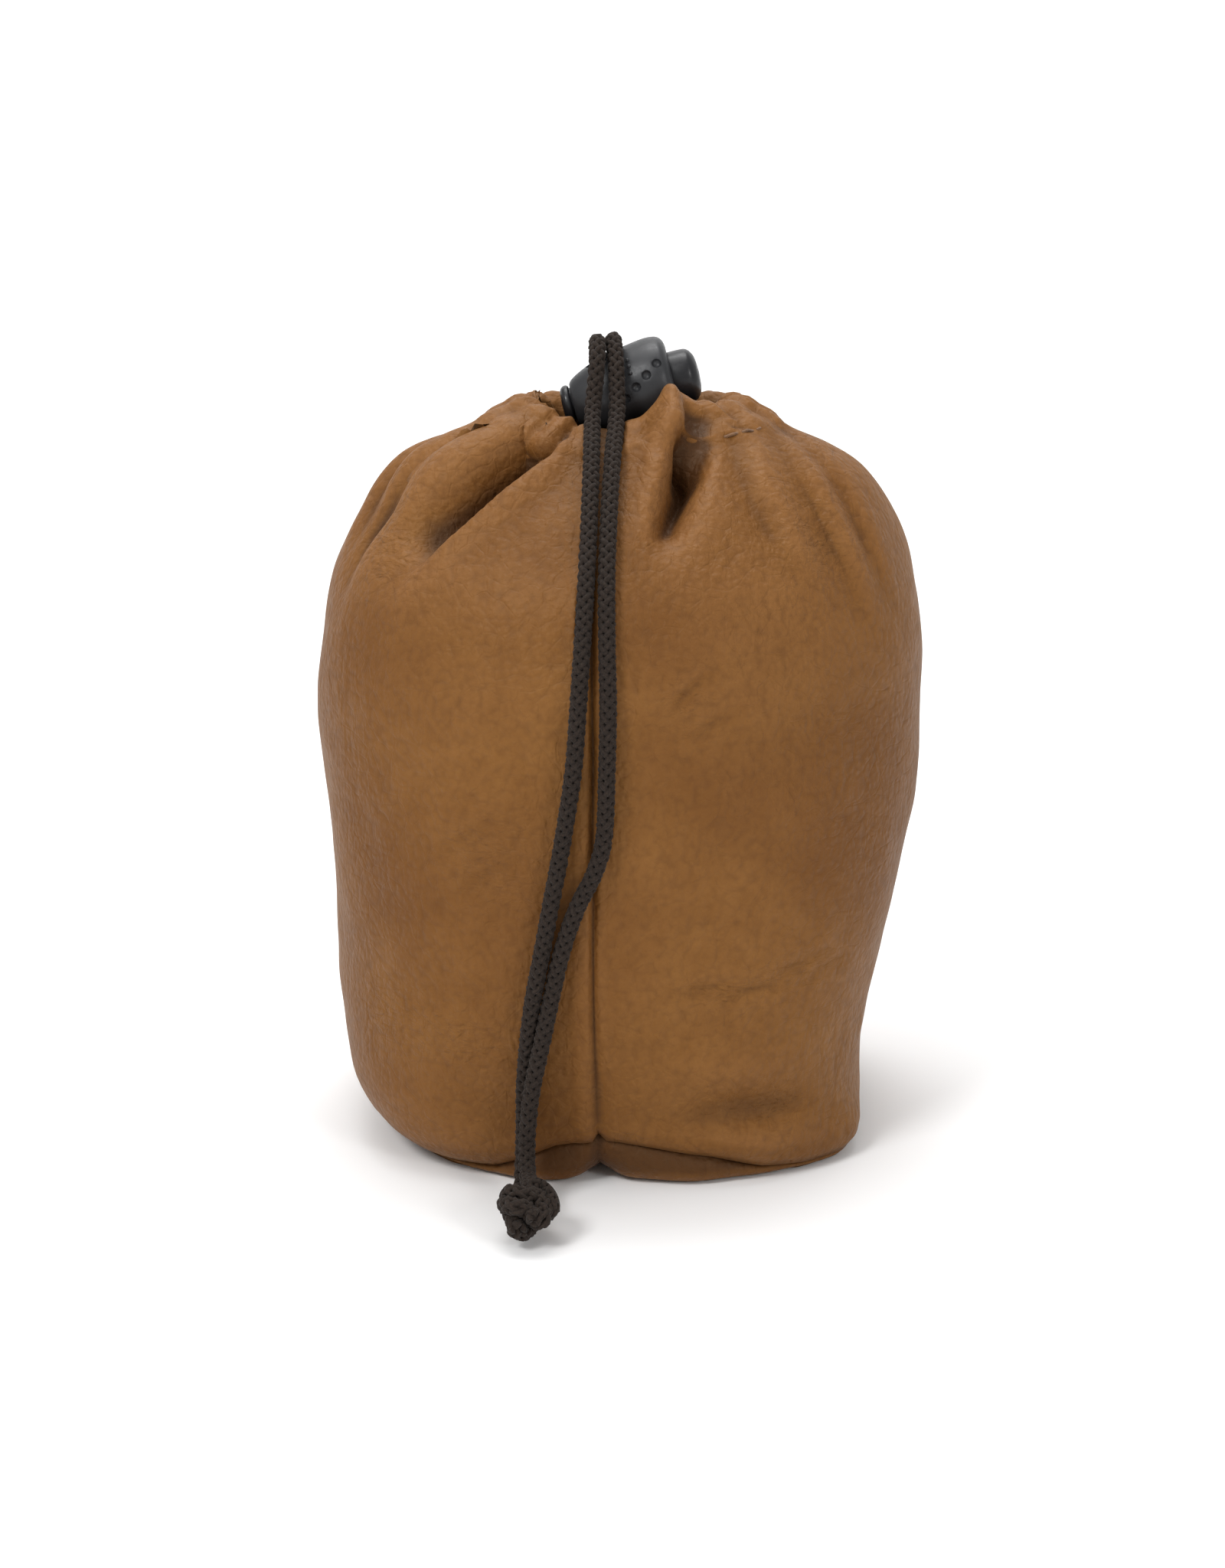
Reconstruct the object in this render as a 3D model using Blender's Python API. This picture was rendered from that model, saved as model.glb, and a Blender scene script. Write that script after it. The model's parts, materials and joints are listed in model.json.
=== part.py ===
"""Drawstring dice bag: a gathered leather pouch closed by a braided cord and a spring cord lock.

Metres, +Z up. The bag stands on z = 0 with its leather centred on x = y = 0. The seam side is the front
and faces -Y. Every named object is one physical piece.
"""
import math

import bmesh
import bpy
from mathutils import Matrix, Vector

MM = 0.001

# ---- leather ----
LEATHER = 1.4 * MM                 # wall thickness
RING_POINTS = 64                   # points round the bag
# Outer surface, base to shoulder, in mm: height, left x, right x, front y, back y, squareness.
WALL_ROWS = (
    (8, -48.5, 48.5, -48.5, 48.5, 2.5),
    (20, -52.2, 51, -49.5, 49.5, 2.4),
    (36, -54.5, 53, -50, 50, 2.3),
    (52, -55, 55, -50, 50, 2.2),
    (68, -55.5, 56, -49.5, 50, 2.15),
    (83, -56.25, 56.25, -48.5, 49.5, 2.1),
    (94, -55, 56, -46.5, 48, 2.1),
    (105, -52, 54, -43, 45.5, 2.05),
    (114, -46.5, 50.5, -38, 41, 2.0),
    (122, -41, 45, -32, 35, 2.0),
    (127, -35, 38.5, -27, 28.5, 2.0),
    (130.5, -26, 31, -22.5, 21, 2.0),
)
BASE_ROWS = ((0, 7.0), (0.5, 4.4), (2.2, 1.9), (4.6, 0.6), (7.6, 0.1))   # height, inset from the wall's foot

# ---- casing: the strip folded round the drawcord, stitched to the body panel's top edge ----
MOUTH_X, MOUTH_Y = 2.2, -1.0       # centre of the mouth
CORD_RX, CORD_RY = 20.1, 13.6      # the cord's ring in the casing
CASING_GAP = 0.35                  # between the body panel's top edge and the casing strip
CORD_RING_Z = 131.3
CASING_SECTION = (                 # out from and above the cord's centre
    (6.5, 0.6), (3.1, 2.2), (1.3, 3.6), (-1.0, 3.7), (-2.9, 2.4), (-3.8, 0.3),
    (-3.3, -1.9), (-1.6, -4.1), (1.8, -4.6), (5.6, -3.6),
)
FRONT_DROP = 4.5                   # the rim dips at the front centre
EXIT_HOLE_AT = (-0.8, -9.95, 126.2)  # where the cord leaves the casing, inside the mouth at the front
EXIT_HOLE_SIZE = (20.4, 6.9, 9.4)
PLEATS = 9
SHOULDER_PLEAT, RIM_PLEAT = 1.6, 0.6

# ---- cord and threads ----
CORD_R = 1.5
CORD_GAP = 0.3
THREAD_R = 0.3

# ---- cord lock: +Z along its axis to the button, +X up through the cord hole ----
LOCK_AT = (-0.7, -1.0, 135.7)      # middle of the cord hole
LOCK_TILT = math.radians(14)       # the button end is higher
LOCK_ROLL = math.radians(6)        # the hole leans to the front
PLUNGER_TRAVEL = 3.0
CORD_PITCH = 3.3                   # between the two cords in the hole
HOLE_HALF_WIDTH = 1.9
STEM_R = 3.0
BORE_R = 3.3
RECESS_R = 5.3
RECESS_FLOOR = 4.6
BARREL_OUTSIDE = (                 # along the axis, radius
    (-7.8, 3.7), (-7.3, 4.3), (-6.0, 5.1), (-4.0, 6.0), (-1.8, 6.8), (1.0, 7.5), (4.0, 8.0),
    (6.5, 8.35), (8.2, 8.4), (9.6, 8.1), (10.4, 7.3), (10.7, 6.4),
)
BUTTON_R = 4.9
BUTTON_FOOT, BUTTON_TOP = 10.2, 15.7
FLANGE_R = 3.6
SPRING_R, SPRING_WIRE_R, SPRING_TURNS = 4.0, 0.25, 3.5
TURNED_SIDES = 28

# ---- cord routes in mm, chosen by hand; the ends lie in the lock's hole ----
LOOP_TO_CASING_LEFT = ((-2.2, -2.1, 123.4), (-3.6, -6.4, 123.2), (-5.9, -10.0, 125.4))
LOOP_TO_CASING_RIGHT = ((2.1, -2.2, 123.9), (2.2, -6.2, 124.0), (2.5, -9.5, 126.1), (4.6, -12.4, 128.0))
LOOP_LEFT_ANGLE, LOOP_RIGHT_ANGLE = -136, -70     # where the cord turns into the casing, in degrees
TAIL_LEFT = (
    (-4.1, -3.4, 144.6), (-3.9, -6.6, 145.3), (-3.9, -9.9, 143.4), (-4.2, -11.9, 139.6),
    (-4.6, -13.7, 135.6), (-4.8, -17.2, 132.0), (-4.9, -25.8, 127.0), (-5.1, -33.5, 120.6), (-5.6, -41.9, 110.1),
    (-6.3, -47.2, 98.6), (-7.0, -49.7, 88.5), (-7.9, -51.2, 77), (-9.8, -51.9, 64.5),
    (-11.9, -52.2, 53.2), (-13.4, -52.2, 45), (-15.3, -52.1, 34.5), (-16.5, -51.8, 22.6),
    (-16.7, -51.6, 15), (-16.8, -52.0, 10), (-16.9, -53.4, 6.2), (-17.0, -56.2, 3.4), (-17.0, -59.9, 2.6),
    (-17.0, -63.9, 3.6),
)
TAIL_RIGHT = (
    (-1.1, -3.1, 145.4), (-1.0, -5.2, 145.3), (-0.8, -7.7, 143.7), (-0.6, -9.9, 141.1), (-0.5, -11.5, 138.2),
    (-0.4, -13.6, 134.9), (-0.6, -17.2, 131.8), (-1.2, -25.8, 127.0), (-1.7, -33.5, 120.6), (-2.2, -41.9, 110.1),
    (-2.2, -47.2, 98.6), (-2.0, -49.7, 88.5), (-2.2, -51.2, 77), (-2.7, -51.9, 65.5),
    (-4.3, -52.2, 59.5), (-7.3, -52.3, 53.2), (-9.9, -52.3, 45.5), (-11.9, -52.5, 36.5), (-13.6, -53.7, 28.5),
    (-15.2, -54.8, 21), (-15.9, -55.1, 15), (-16.1, -55.4, 11.4), (-16.1, -56.8, 8.4), (-15.8, -59.4, 6.7),
    (-15.4, -63.6, 6.9),
)
KNOT_AT = (-15.5, -71.0, 5.7)
KNOT_R = (5.6, 7.0, 5.3)


def smoothstep(low, high, value):
    t = min(1.0, max(0.0, (value - low) / (high - low)))
    return t * t * (3 - 2 * t)


def squared(value, squareness):
    return math.copysign(abs(value) ** (2 / squareness), value)


def front_dip(angle):
    """How strongly a direction belongs to the dipped front centre of the rim, 0 to 1."""
    away = (angle + math.radians(104) + math.pi) % math.tau - math.pi
    return math.exp(-(away / 0.55) ** 2)


def pleat(angle, height):
    """Radial in and out of the gathers, in mm."""
    depth = SHOULDER_PLEAT * smoothstep(98, 120, height) * (1 - smoothstep(122, 130, height))
    depth += RIM_PLEAT * smoothstep(122, 130, height)
    return depth * math.cos(PLEATS * angle + 0.6)


def wall_ring(row, inset=0.0, height=None):
    """One level outline of the wall, in metres."""
    level, left, right, front, back, squareness = row
    cx, cy = (left + right) / 2, (front + back) / 2
    ring = []
    for i in range(RING_POINTS):
        angle = math.tau * i / RING_POINTS
        out = pleat(angle, level) - inset
        x = cx + ((right - left) / 2 + out) * squared(math.cos(angle), squareness)
        y = cy + ((back - front) / 2 + out) * squared(math.sin(angle), squareness)
        z = level if height is None else height
        z -= FRONT_DROP * front_dip(angle) * smoothstep(95, 131, level)
        ring.append(Vector((x, y, z)) * MM)
    return ring


def casing_ring(out, up):
    """One outline of the casing, from its offset to the cord's ring, in metres."""
    ring = []
    for i in range(RING_POINTS):
        angle = math.tau * i / RING_POINTS
        ring.append(cord_ring_point(angle, out, up))
    return ring


def before_casing(gap):
    """Offset of a point gap mm short of the casing's edge, in line with its first stretch."""
    edge, beyond = Vector(CASING_SECTION[0]), Vector(CASING_SECTION[1])
    return edge + (edge - beyond).normalized() * gap


def cord_ring_point(angle, out=0.0, up=0.0):
    out = out + pleat(angle, CORD_RING_Z)
    x = MOUTH_X + (CORD_RX + out) * math.cos(angle)
    y = MOUTH_Y + (CORD_RY + out) * math.sin(angle)
    return Vector((x, y, CORD_RING_Z + up - FRONT_DROP * front_dip(angle))) * MM


def material(name, colour, roughness, metallic=0.0):
    made = bpy.data.materials.new(name)
    made.use_nodes = True
    shader = made.node_tree.nodes["Principled BSDF"]
    shader.inputs["Base Color"].default_value = (*colour, 1)
    shader.inputs["Roughness"].default_value = roughness
    shader.inputs["Metallic"].default_value = metallic
    return made


def add_object(name, data, finish):
    piece = bpy.data.objects.new(name, data)
    bpy.context.scene.collection.objects.link(piece)
    data.materials.append(finish)
    return piece


def mesh_object(name, bm, finish):
    bmesh.ops.recalc_face_normals(bm, faces=bm.faces)
    mesh = bpy.data.meshes.new(name)
    bm.to_mesh(mesh)
    bm.free()
    mesh.shade_smooth()
    mesh.set_sharp_from_angle(angle=math.radians(40))
    return add_object(name, mesh, finish)


def skin_rings(bm, rings):
    """Rings of points joined by quads; returns the rings of vertices."""
    loops = [[bm.verts.new(point) for point in ring] for ring in rings]
    count = len(loops[0])
    for lower, upper in zip(loops, loops[1:]):
        for i in range(count):
            j = (i + 1) % count
            bm.faces.new((lower[i], lower[j], upper[j], upper[i]))
    return loops


def leather_shell(name, rings, finish, closed_foot=False):
    """A sheet through the rings, given the leather's thickness on its inner side."""
    bm = bmesh.new()
    loops = skin_rings(bm, rings)
    if closed_foot:
        bm.faces.new(list(reversed(loops[0])))
    mesh = bpy.data.meshes.new(name)
    bm.to_mesh(mesh)
    bm.free()
    mesh.shade_smooth()
    piece = add_object(name, mesh, finish)
    wall = piece.modifiers.new("leather", "SOLIDIFY")
    wall.thickness = LEATHER
    wall.offset = -1
    wall.use_even_offset = True
    wall.use_quality_normals = True
    return piece


def cutter(name, bm, like=None):
    mesh = bpy.data.meshes.new(name)
    bmesh.ops.recalc_face_normals(bm, faces=bm.faces)
    bm.to_mesh(mesh)
    bm.free()
    tool = bpy.data.objects.new(name, mesh)
    bpy.context.scene.collection.objects.link(tool)
    tool.hide_render = True
    tool.display_type = "WIRE"
    if like is not None:
        tool.matrix_world = like.matrix_world
    return tool


def cut(piece, tool):
    boolean = piece.modifiers.new("cut_" + tool.name, "BOOLEAN")
    boolean.operation = "DIFFERENCE"
    boolean.object = tool


def turned(name, profile, finish, sides=TURNED_SIDES):
    """A piece turned about local Z from (along, radius) points in mm; the profile closes on itself."""
    bm = bmesh.new()
    points = [bm.verts.new((radius * MM, 0, along * MM)) for along, radius in profile]
    count = len(points)
    edges = [bm.edges.new((points[i], points[(i + 1) % count])) for i in range(count)]
    if min(radius for _, radius in profile) == 0:
        axis_edges = [e for e in edges if all(abs(v.co.x) < 1e-9 for v in e.verts)]
        bmesh.ops.delete(bm, geom=axis_edges, context="EDGES")
        edges = [e for e in edges if e.is_valid]
    bmesh.ops.spin(bm, geom=points + edges, cent=(0, 0, 0), axis=(0, 0, 1), angle=math.tau,
                   steps=sides, use_merge=True)
    bmesh.ops.remove_doubles(bm, verts=bm.verts, dist=1e-6)
    return mesh_object(name, bm, finish)


def slot_prism(low, high, half_width, reach):
    """A round-ended slot's cutter, from low to high along local Z, cutting along local X."""
    bm = bmesh.new()
    outline = []
    for centre, turn in ((high - half_width, 0), (low + half_width, math.pi)):
        for i in range(9):
            angle = turn - math.pi / 2 + math.pi * i / 8
            outline.append((half_width * math.sin(angle), centre + half_width * math.cos(angle)))
    face = bm.faces.new([bm.verts.new((-reach * MM, y * MM, z * MM)) for y, z in outline])
    grown = bmesh.ops.extrude_face_region(bm, geom=[face])["geom"]
    moved = [v for v in grown if isinstance(v, bmesh.types.BMVert)]
    bmesh.ops.translate(bm, verts=moved, vec=(2 * reach * MM, 0, 0))
    return bm


def spline_points(points, per_span):
    """A smooth curve through hand-chosen points (Catmull-Rom), sampled per_span times a span."""
    padded = [2 * points[0] - points[1], *points, 2 * points[-1] - points[-2]]
    samples = []
    for a, b, c, d in zip(padded, padded[1:], padded[2:], padded[3:]):
        for k in range(per_span):
            t = k / per_span
            samples.append(0.5 * ((2 * b) + (c - a) * t + (2 * a - 5 * b + 4 * c - d) * t ** 2
                                  + (3 * b - a - 3 * c + d) * t ** 3))
    return samples + [points[-1]]


def tube(name, points, radius, finish, cyclic=False, resolution=2):
    curve = bpy.data.curves.new(name, "CURVE")
    curve.dimensions = "3D"
    curve.bevel_depth = radius * MM
    curve.bevel_resolution = resolution
    curve.use_fill_caps = not cyclic
    spline = curve.splines.new("POLY")
    spline.points.add(len(points) - 1)
    for slot, point in zip(spline.points, points):
        slot.co = (*point, 1)
    spline.use_cyclic_u = cyclic
    return add_object(name, curve, finish)


def in_mm(route):
    return [Vector(point) * MM for point in route]


def lock_frame():
    axis = Vector((math.cos(LOCK_TILT), 0, math.sin(LOCK_TILT)))
    hole = Vector((-math.sin(LOCK_TILT) * math.cos(LOCK_ROLL), -math.sin(LOCK_ROLL),
                   math.cos(LOCK_TILT) * math.cos(LOCK_ROLL)))
    frame = Matrix((hole, axis.cross(hole), axis)).transposed().to_4x4()
    frame.translation = Vector(LOCK_AT) * MM
    return frame


# ---- the pieces ----
def make_base_panel(leather):
    rings = [wall_ring(WALL_ROWS[0], inset, height) for height, inset in BASE_ROWS]
    return leather_shell("base_panel", rings, leather, closed_foot=True)


def make_body_panel(leather):
    rings = [wall_ring(row) for row in WALL_ROWS]
    rings += [casing_ring(*before_casing(gap)) for gap in (1.3, CASING_GAP)]
    leather_shell("body_panel", rings, leather)


def make_casing(leather):
    panel = leather_shell("cord_casing", [casing_ring(out, up) for out, up in CASING_SECTION], leather)
    exit_hole = bmesh.new()
    bmesh.ops.create_cube(exit_hole, size=1)
    bmesh.ops.scale(exit_hole, vec=Vector(EXIT_HOLE_SIZE) * MM, verts=exit_hole.verts)
    bmesh.ops.translate(exit_hole, vec=Vector(EXIT_HOLE_AT) * MM, verts=exit_hole.verts)
    cut(panel, cutter("cord_exit_hole", exit_hole))
    return panel


def inside_seam(angle, rows, depth):
    """Points on the inner face of the wall along one upright line, depth mm behind the outer face."""
    line = []
    index = round(angle / math.tau * RING_POINTS) % RING_POINTS
    rings = [wall_ring(row) for row in rows]
    for k, ring in enumerate(rings):
        around = ring[(index + 1) % RING_POINTS] - ring[index - 1]
        up = rings[min(k + 1, len(rings) - 1)][index] - rings[max(k - 1, 0)][index]
        line.append(ring[index] - around.cross(up).normalized() * depth * MM)
    return line


def make_threads(thread):
    inner = LEATHER / MM + 0.35 + THREAD_R
    seam = inside_seam(math.radians(-95), WALL_ROWS, inner + 0.25)
    tube("body_seam_thread", spline_points(seam, 2), THREAD_R, thread, resolution=1)
    tube("base_seam_thread", wall_ring(WALL_ROWS[0], inner + 0.2, 7.8), THREAD_R, thread, cyclic=True, resolution=1)
    stitches = []
    first, last = round(RING_POINTS * 0.775), round(RING_POINTS * 1.69)
    line = casing_ring(*CASING_SECTION[0])
    lower = wall_ring(WALL_ROWS[-1])
    for i in range(first, last):
        k = i % RING_POINTS
        around = line[(k + 1) % RING_POINTS] - line[k - 1]
        outward = around.cross(line[k] - lower[k]).normalized()
        stitches.append(line[k] + outward * (THREAD_R + 0.45) * MM)
    tube("casing_thread", stitches, THREAD_R, thread, resolution=1)


def make_cords(cord):
    frame = lock_frame()
    hole = frame.col[0].to_3d()
    axis = frame.col[2].to_3d()

    def in_hole(side, heights):
        foot = frame.translation + axis * side * CORD_PITCH / 2 * MM
        return [foot + hole * height * MM for height in heights]

    turn = math.radians(LOOP_RIGHT_ANGLE - LOOP_LEFT_ANGLE)
    sweep = math.tau - turn
    ring_points = 30
    ring = []
    for i in range(ring_points + 1):
        angle = math.radians(LOOP_LEFT_ANGLE) - sweep * i / ring_points
        ring.append(cord_ring_point(angle))
    down = in_hole(-1, (5.0, -1.0, -7.0))
    up = in_hole(1, (-7.0, -1.0, 5.0))
    left = spline_points(down + in_mm(LOOP_TO_CASING_LEFT) + ring[:1], 2)[:-1]
    right = spline_points(ring[-1:] + in_mm(reversed(LOOP_TO_CASING_RIGHT)) + up, 2)[1:]
    tube("drawcord_loop", left + ring + right, CORD_R, cord)
    start = (5.0 + CORD_GAP, 7.2)
    tube("drawcord_tail_left", spline_points(in_hole(-1, start) + in_mm(TAIL_LEFT), 2), CORD_R, cord)
    start = (5.0 + CORD_GAP, 8.0)
    tube("drawcord_tail_right", spline_points(in_hole(1, start) + in_mm(TAIL_RIGHT), 2), CORD_R, cord)


def make_knot(cord):
    bm = bmesh.new()
    bmesh.ops.create_uvsphere(bm, u_segments=20, v_segments=12, radius=1)
    for vert in bm.verts:
        swell = 1 - 0.06 * (1 - math.cos(3 * math.atan2(vert.co.x, vert.co.z))) * (1 - vert.co.y ** 2)
        vert.co = Vector((vert.co.x * KNOT_R[0] * swell, vert.co.y * KNOT_R[1], vert.co.z * KNOT_R[2] * swell)) * MM
    bmesh.ops.translate(bm, verts=bm.verts, vec=Vector(KNOT_AT) * MM)
    return mesh_object("tail_knot", bm, cord)


def make_lock(shell, black, steel):
    frame = lock_frame()
    barrel = turned("lock_barrel", (*BARREL_OUTSIDE, (BARREL_OUTSIDE[-1][0], RECESS_R), (RECESS_FLOOR, RECESS_R),
                                    (RECESS_FLOOR, BORE_R), (BARREL_OUTSIDE[0][0], BORE_R)), shell)
    barrel.matrix_world = frame
    cord_reach = CORD_PITCH / 2 + CORD_R + CORD_GAP
    hole = slot_prism(-cord_reach - 0.65, cord_reach, HOLE_HALF_WIDTH, 14)
    cut(barrel, cutter("cord_hole", hole, barrel))
    foot, top = BUTTON_FOOT, BUTTON_TOP
    plunger = turned("lock_plunger", (
        (-9.9, 0), (-9.9, 2.6), (-9.6, 3.3), (-9.1, FLANGE_R), (-8.1, FLANGE_R), (-8.1, STEM_R), (foot, STEM_R),
        (foot, BUTTON_R), (top - 2.4, BUTTON_R), (top - 0.9, 4.2), (top - 0.2, 2.7), (top, 0)), black)
    plunger.matrix_world = frame
    slot = slot_prism(-cord_reach, cord_reach + PLUNGER_TRAVEL + 0.2, HOLE_HALF_WIDTH, 6)
    cut(plunger, cutter("plunger_slot", slot, plunger))
    low = RECESS_FLOOR + CORD_GAP + SPRING_WIRE_R
    high = foot - CORD_GAP - SPRING_WIRE_R
    steps = round(SPRING_TURNS * 16)
    coil = []
    for i in range(steps + 1):
        angle = math.tau * SPRING_TURNS * i / steps
        local = Vector((SPRING_R * math.cos(angle), SPRING_R * math.sin(angle), low + (high - low) * i / steps))
        coil.append(frame @ (local * MM))
    tube("lock_spring", coil, SPRING_WIRE_R, steel, resolution=1)


def build():
    for old in list(bpy.data.objects):
        bpy.data.objects.remove(old, do_unlink=True)
    leather = material("tan_leather", (0.235, 0.105, 0.032), 0.62)
    cord = material("brown_cord", (0.042, 0.028, 0.022), 0.85)
    thread = material("brown_thread", (0.16, 0.07, 0.025), 0.8)
    shell = material("charcoal_plastic", (0.055, 0.055, 0.06), 0.5)
    black = material("black_plastic", (0.018, 0.018, 0.02), 0.42)
    steel = material("spring_steel", (0.55, 0.55, 0.56), 0.3, metallic=1.0)
    make_base_panel(leather)
    make_body_panel(leather)
    make_casing(leather)
    make_threads(thread)
    make_cords(cord)
    make_knot(cord)
    make_lock(shell, black, steel)


build()
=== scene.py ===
# %% [markdown]
# # A leather dice bag, gathered on a braided cord
# The bag is a soft leather pouch that stands on its own. A braided cord runs round in the casing at its
# top edge, passes up through a spring cord lock and hangs down the front, where its two ends share one
# knot. The imported model gives every place and size, so the script starts by loading it.

# %% Load the imported model
import json
import math

import bmesh
import bpy
import numpy as np
from mathutils import Matrix, Vector, noise


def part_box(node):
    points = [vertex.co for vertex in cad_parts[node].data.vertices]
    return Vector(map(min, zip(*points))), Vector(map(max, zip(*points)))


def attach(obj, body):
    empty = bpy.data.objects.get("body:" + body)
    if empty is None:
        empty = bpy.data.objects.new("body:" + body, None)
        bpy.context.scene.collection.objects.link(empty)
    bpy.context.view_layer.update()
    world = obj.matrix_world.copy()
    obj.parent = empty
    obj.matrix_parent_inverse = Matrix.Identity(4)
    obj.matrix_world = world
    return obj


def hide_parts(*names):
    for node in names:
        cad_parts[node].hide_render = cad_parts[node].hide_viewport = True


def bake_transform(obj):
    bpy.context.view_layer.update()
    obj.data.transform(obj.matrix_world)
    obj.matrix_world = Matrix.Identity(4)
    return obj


MM = 0.001
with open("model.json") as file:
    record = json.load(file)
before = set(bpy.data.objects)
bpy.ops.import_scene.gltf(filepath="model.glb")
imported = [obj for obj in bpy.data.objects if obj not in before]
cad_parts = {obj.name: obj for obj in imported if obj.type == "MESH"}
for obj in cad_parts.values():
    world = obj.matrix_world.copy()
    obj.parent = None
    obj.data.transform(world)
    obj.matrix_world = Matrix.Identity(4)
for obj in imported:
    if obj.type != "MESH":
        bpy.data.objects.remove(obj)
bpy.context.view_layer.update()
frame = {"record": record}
scene = bpy.context.scene

# %% [markdown]
# ## Floor, light and camera
# A pale floor that sweeps up into a backdrop and a few soft lamps stand for a small studio table. The key
# lamp sits high on the left, a small one low on the right draws a soft shadow beside the cord, and a big
# one overhead keeps the floor white. The camera looks a little down at the seam side.

# %% Floor, lamps and camera
SWEEP_STARTS, SWEEP_R = 0.9, 0.6   # where the floor begins to bend up, and the bend's radius, in metres
LOOKS_DOWN = 14                    # degrees


def area_lamp(name, place, target, size, power):
    data = bpy.data.lights.new(name, "AREA")
    data.shape = "DISK"
    data.size = size
    data.energy = power
    lamp = bpy.data.objects.new(name, data)
    scene.collection.objects.link(lamp)
    lamp.location = place
    lamp.rotation_euler = (Vector(target) - Vector(place)).to_track_quat("-Z", "Y").to_euler()


def make_stage():
    bm = bmesh.new()
    bmesh.ops.create_grid(bm, x_segments=4, y_segments=90, size=3.0)
    for vert in bm.verts:
        beyond = max(0.0, vert.co.y - SWEEP_STARTS)
        turn = min(beyond / SWEEP_R, math.pi / 2)
        straight = max(0.0, beyond - SWEEP_R * math.pi / 2)
        if beyond > 0:
            vert.co.y = SWEEP_STARTS + SWEEP_R * math.sin(turn)
            vert.co.z = SWEEP_R * (1 - math.cos(turn)) + straight
    mesh = bpy.data.meshes.new("floor")
    bm.to_mesh(mesh)
    bm.free()
    floor = bpy.data.objects.new("floor", mesh)
    scene.collection.objects.link(floor)
    paper = bpy.data.materials.new("pale_paper")
    paper.use_nodes = True
    shader = paper.node_tree.nodes["Principled BSDF"]
    shader.inputs["Base Color"].default_value = (0.92, 0.92, 0.92, 1)
    shader.inputs["Roughness"].default_value = 0.9
    mesh.materials.append(paper)
    mesh.shade_smooth()
    world = bpy.data.worlds.new("white_room")
    scene.world = world
    world.use_nodes = True
    world.node_tree.nodes["Background"].inputs["Color"].default_value = (1, 1, 1, 1)
    world.node_tree.nodes["Background"].inputs["Strength"].default_value = 0.55
    area_lamp("key", (-0.50, -0.62, 0.80), (0, 0, 0.07), 0.34, 5.2)
    area_lamp("overhead", (-0.10, 0.15, 1.0), (0, 0.1, 0.0), 0.8, 3.6)
    area_lamp("right_fill", (0.50, -0.72, 0.42), (0, 0, 0.07), 0.20, 1.7)
    area_lamp("backdrop", (0.0, 0.55, 1.7), (0, 1.5, 0.7), 1.0, 16)
    camera = bpy.data.cameras.new("camera")
    camera.sensor_fit = "VERTICAL"
    camera.sensor_height = 36
    camera.lens = 60.6
    camera.clip_start = 0.01
    eye = bpy.data.objects.new("camera", camera)
    scene.collection.objects.link(eye)
    eye.location = (-0.00125, -0.4851, 0.1830)
    eye.rotation_euler = (math.radians(90 - LOOKS_DOWN), 0, 0)
    scene.camera = eye
    scene.view_settings.view_transform = "Standard"


make_stage()

# %% [markdown]
# ## Materials
# Leather is not one colour: its grain is a net of tiny cells, the dye is rubbed thinner on the ridges,
# and broad clouds run through it; its creases and folds are painted darker as shade. Five node groups
# give such effects to any material: pebbled grain, cloudy dye, fine creases, slanted pull lines and
# patches of buckled creases. How hollow and how buckled the leather is gets measured on the mesh and
# stored as attributes, so it stays with the leather; the hollow value also carries the painted shade.

# %% Node helpers and shared groups
def new_group(name, inputs, outputs):
    group = bpy.data.node_groups.new(name, "ShaderNodeTree")
    for label, kind, value in inputs:
        socket = group.interface.new_socket(label, in_out="INPUT", socket_type=kind)
        socket.default_value = value
    for label, kind in outputs:
        group.interface.new_socket(label, in_out="OUTPUT", socket_type=kind)
    start = group.nodes.new("NodeGroupInput")
    end = group.nodes.new("NodeGroupOutput")
    return group, start, end


def fill_inputs(tree, made, links):
    """Links or sets each input by its name or number, from an output socket or a value."""
    for key, value in links.items():
        if isinstance(value, bpy.types.NodeSocket):
            tree.links.new(value, made.inputs[key])
        else:
            made.inputs[key].default_value = value


def node(tree, kind, links=None, **settings):
    """A node with its settings; links maps an input's name or number to a value or an output socket."""
    made = tree.nodes.new(kind)
    for key, value in settings.items():
        setattr(made, key, value)
    fill_inputs(tree, made, links or {})
    return made


def math_node(tree, operation, first, second=0.0):
    return node(tree, "ShaderNodeMath", {0: first, 1: second}, operation=operation).outputs[0]


def mix_colour(tree, factor, low, high):
    """A colour between low and high; the numbers are the RGBA sockets of the Mix node."""
    made = node(tree, "ShaderNodeMix", data_type="RGBA", clamp_factor=True)
    fill_inputs(tree, made, {0: factor, 6: low, 7: high})
    return made.outputs[2]


def ramp(tree, value, low, high):
    made = node(tree, "ShaderNodeMapRange", {0: value, 1: low, 2: high, 3: 0.0, 4: 1.0}, clamp=True)
    return made.outputs[0]


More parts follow.
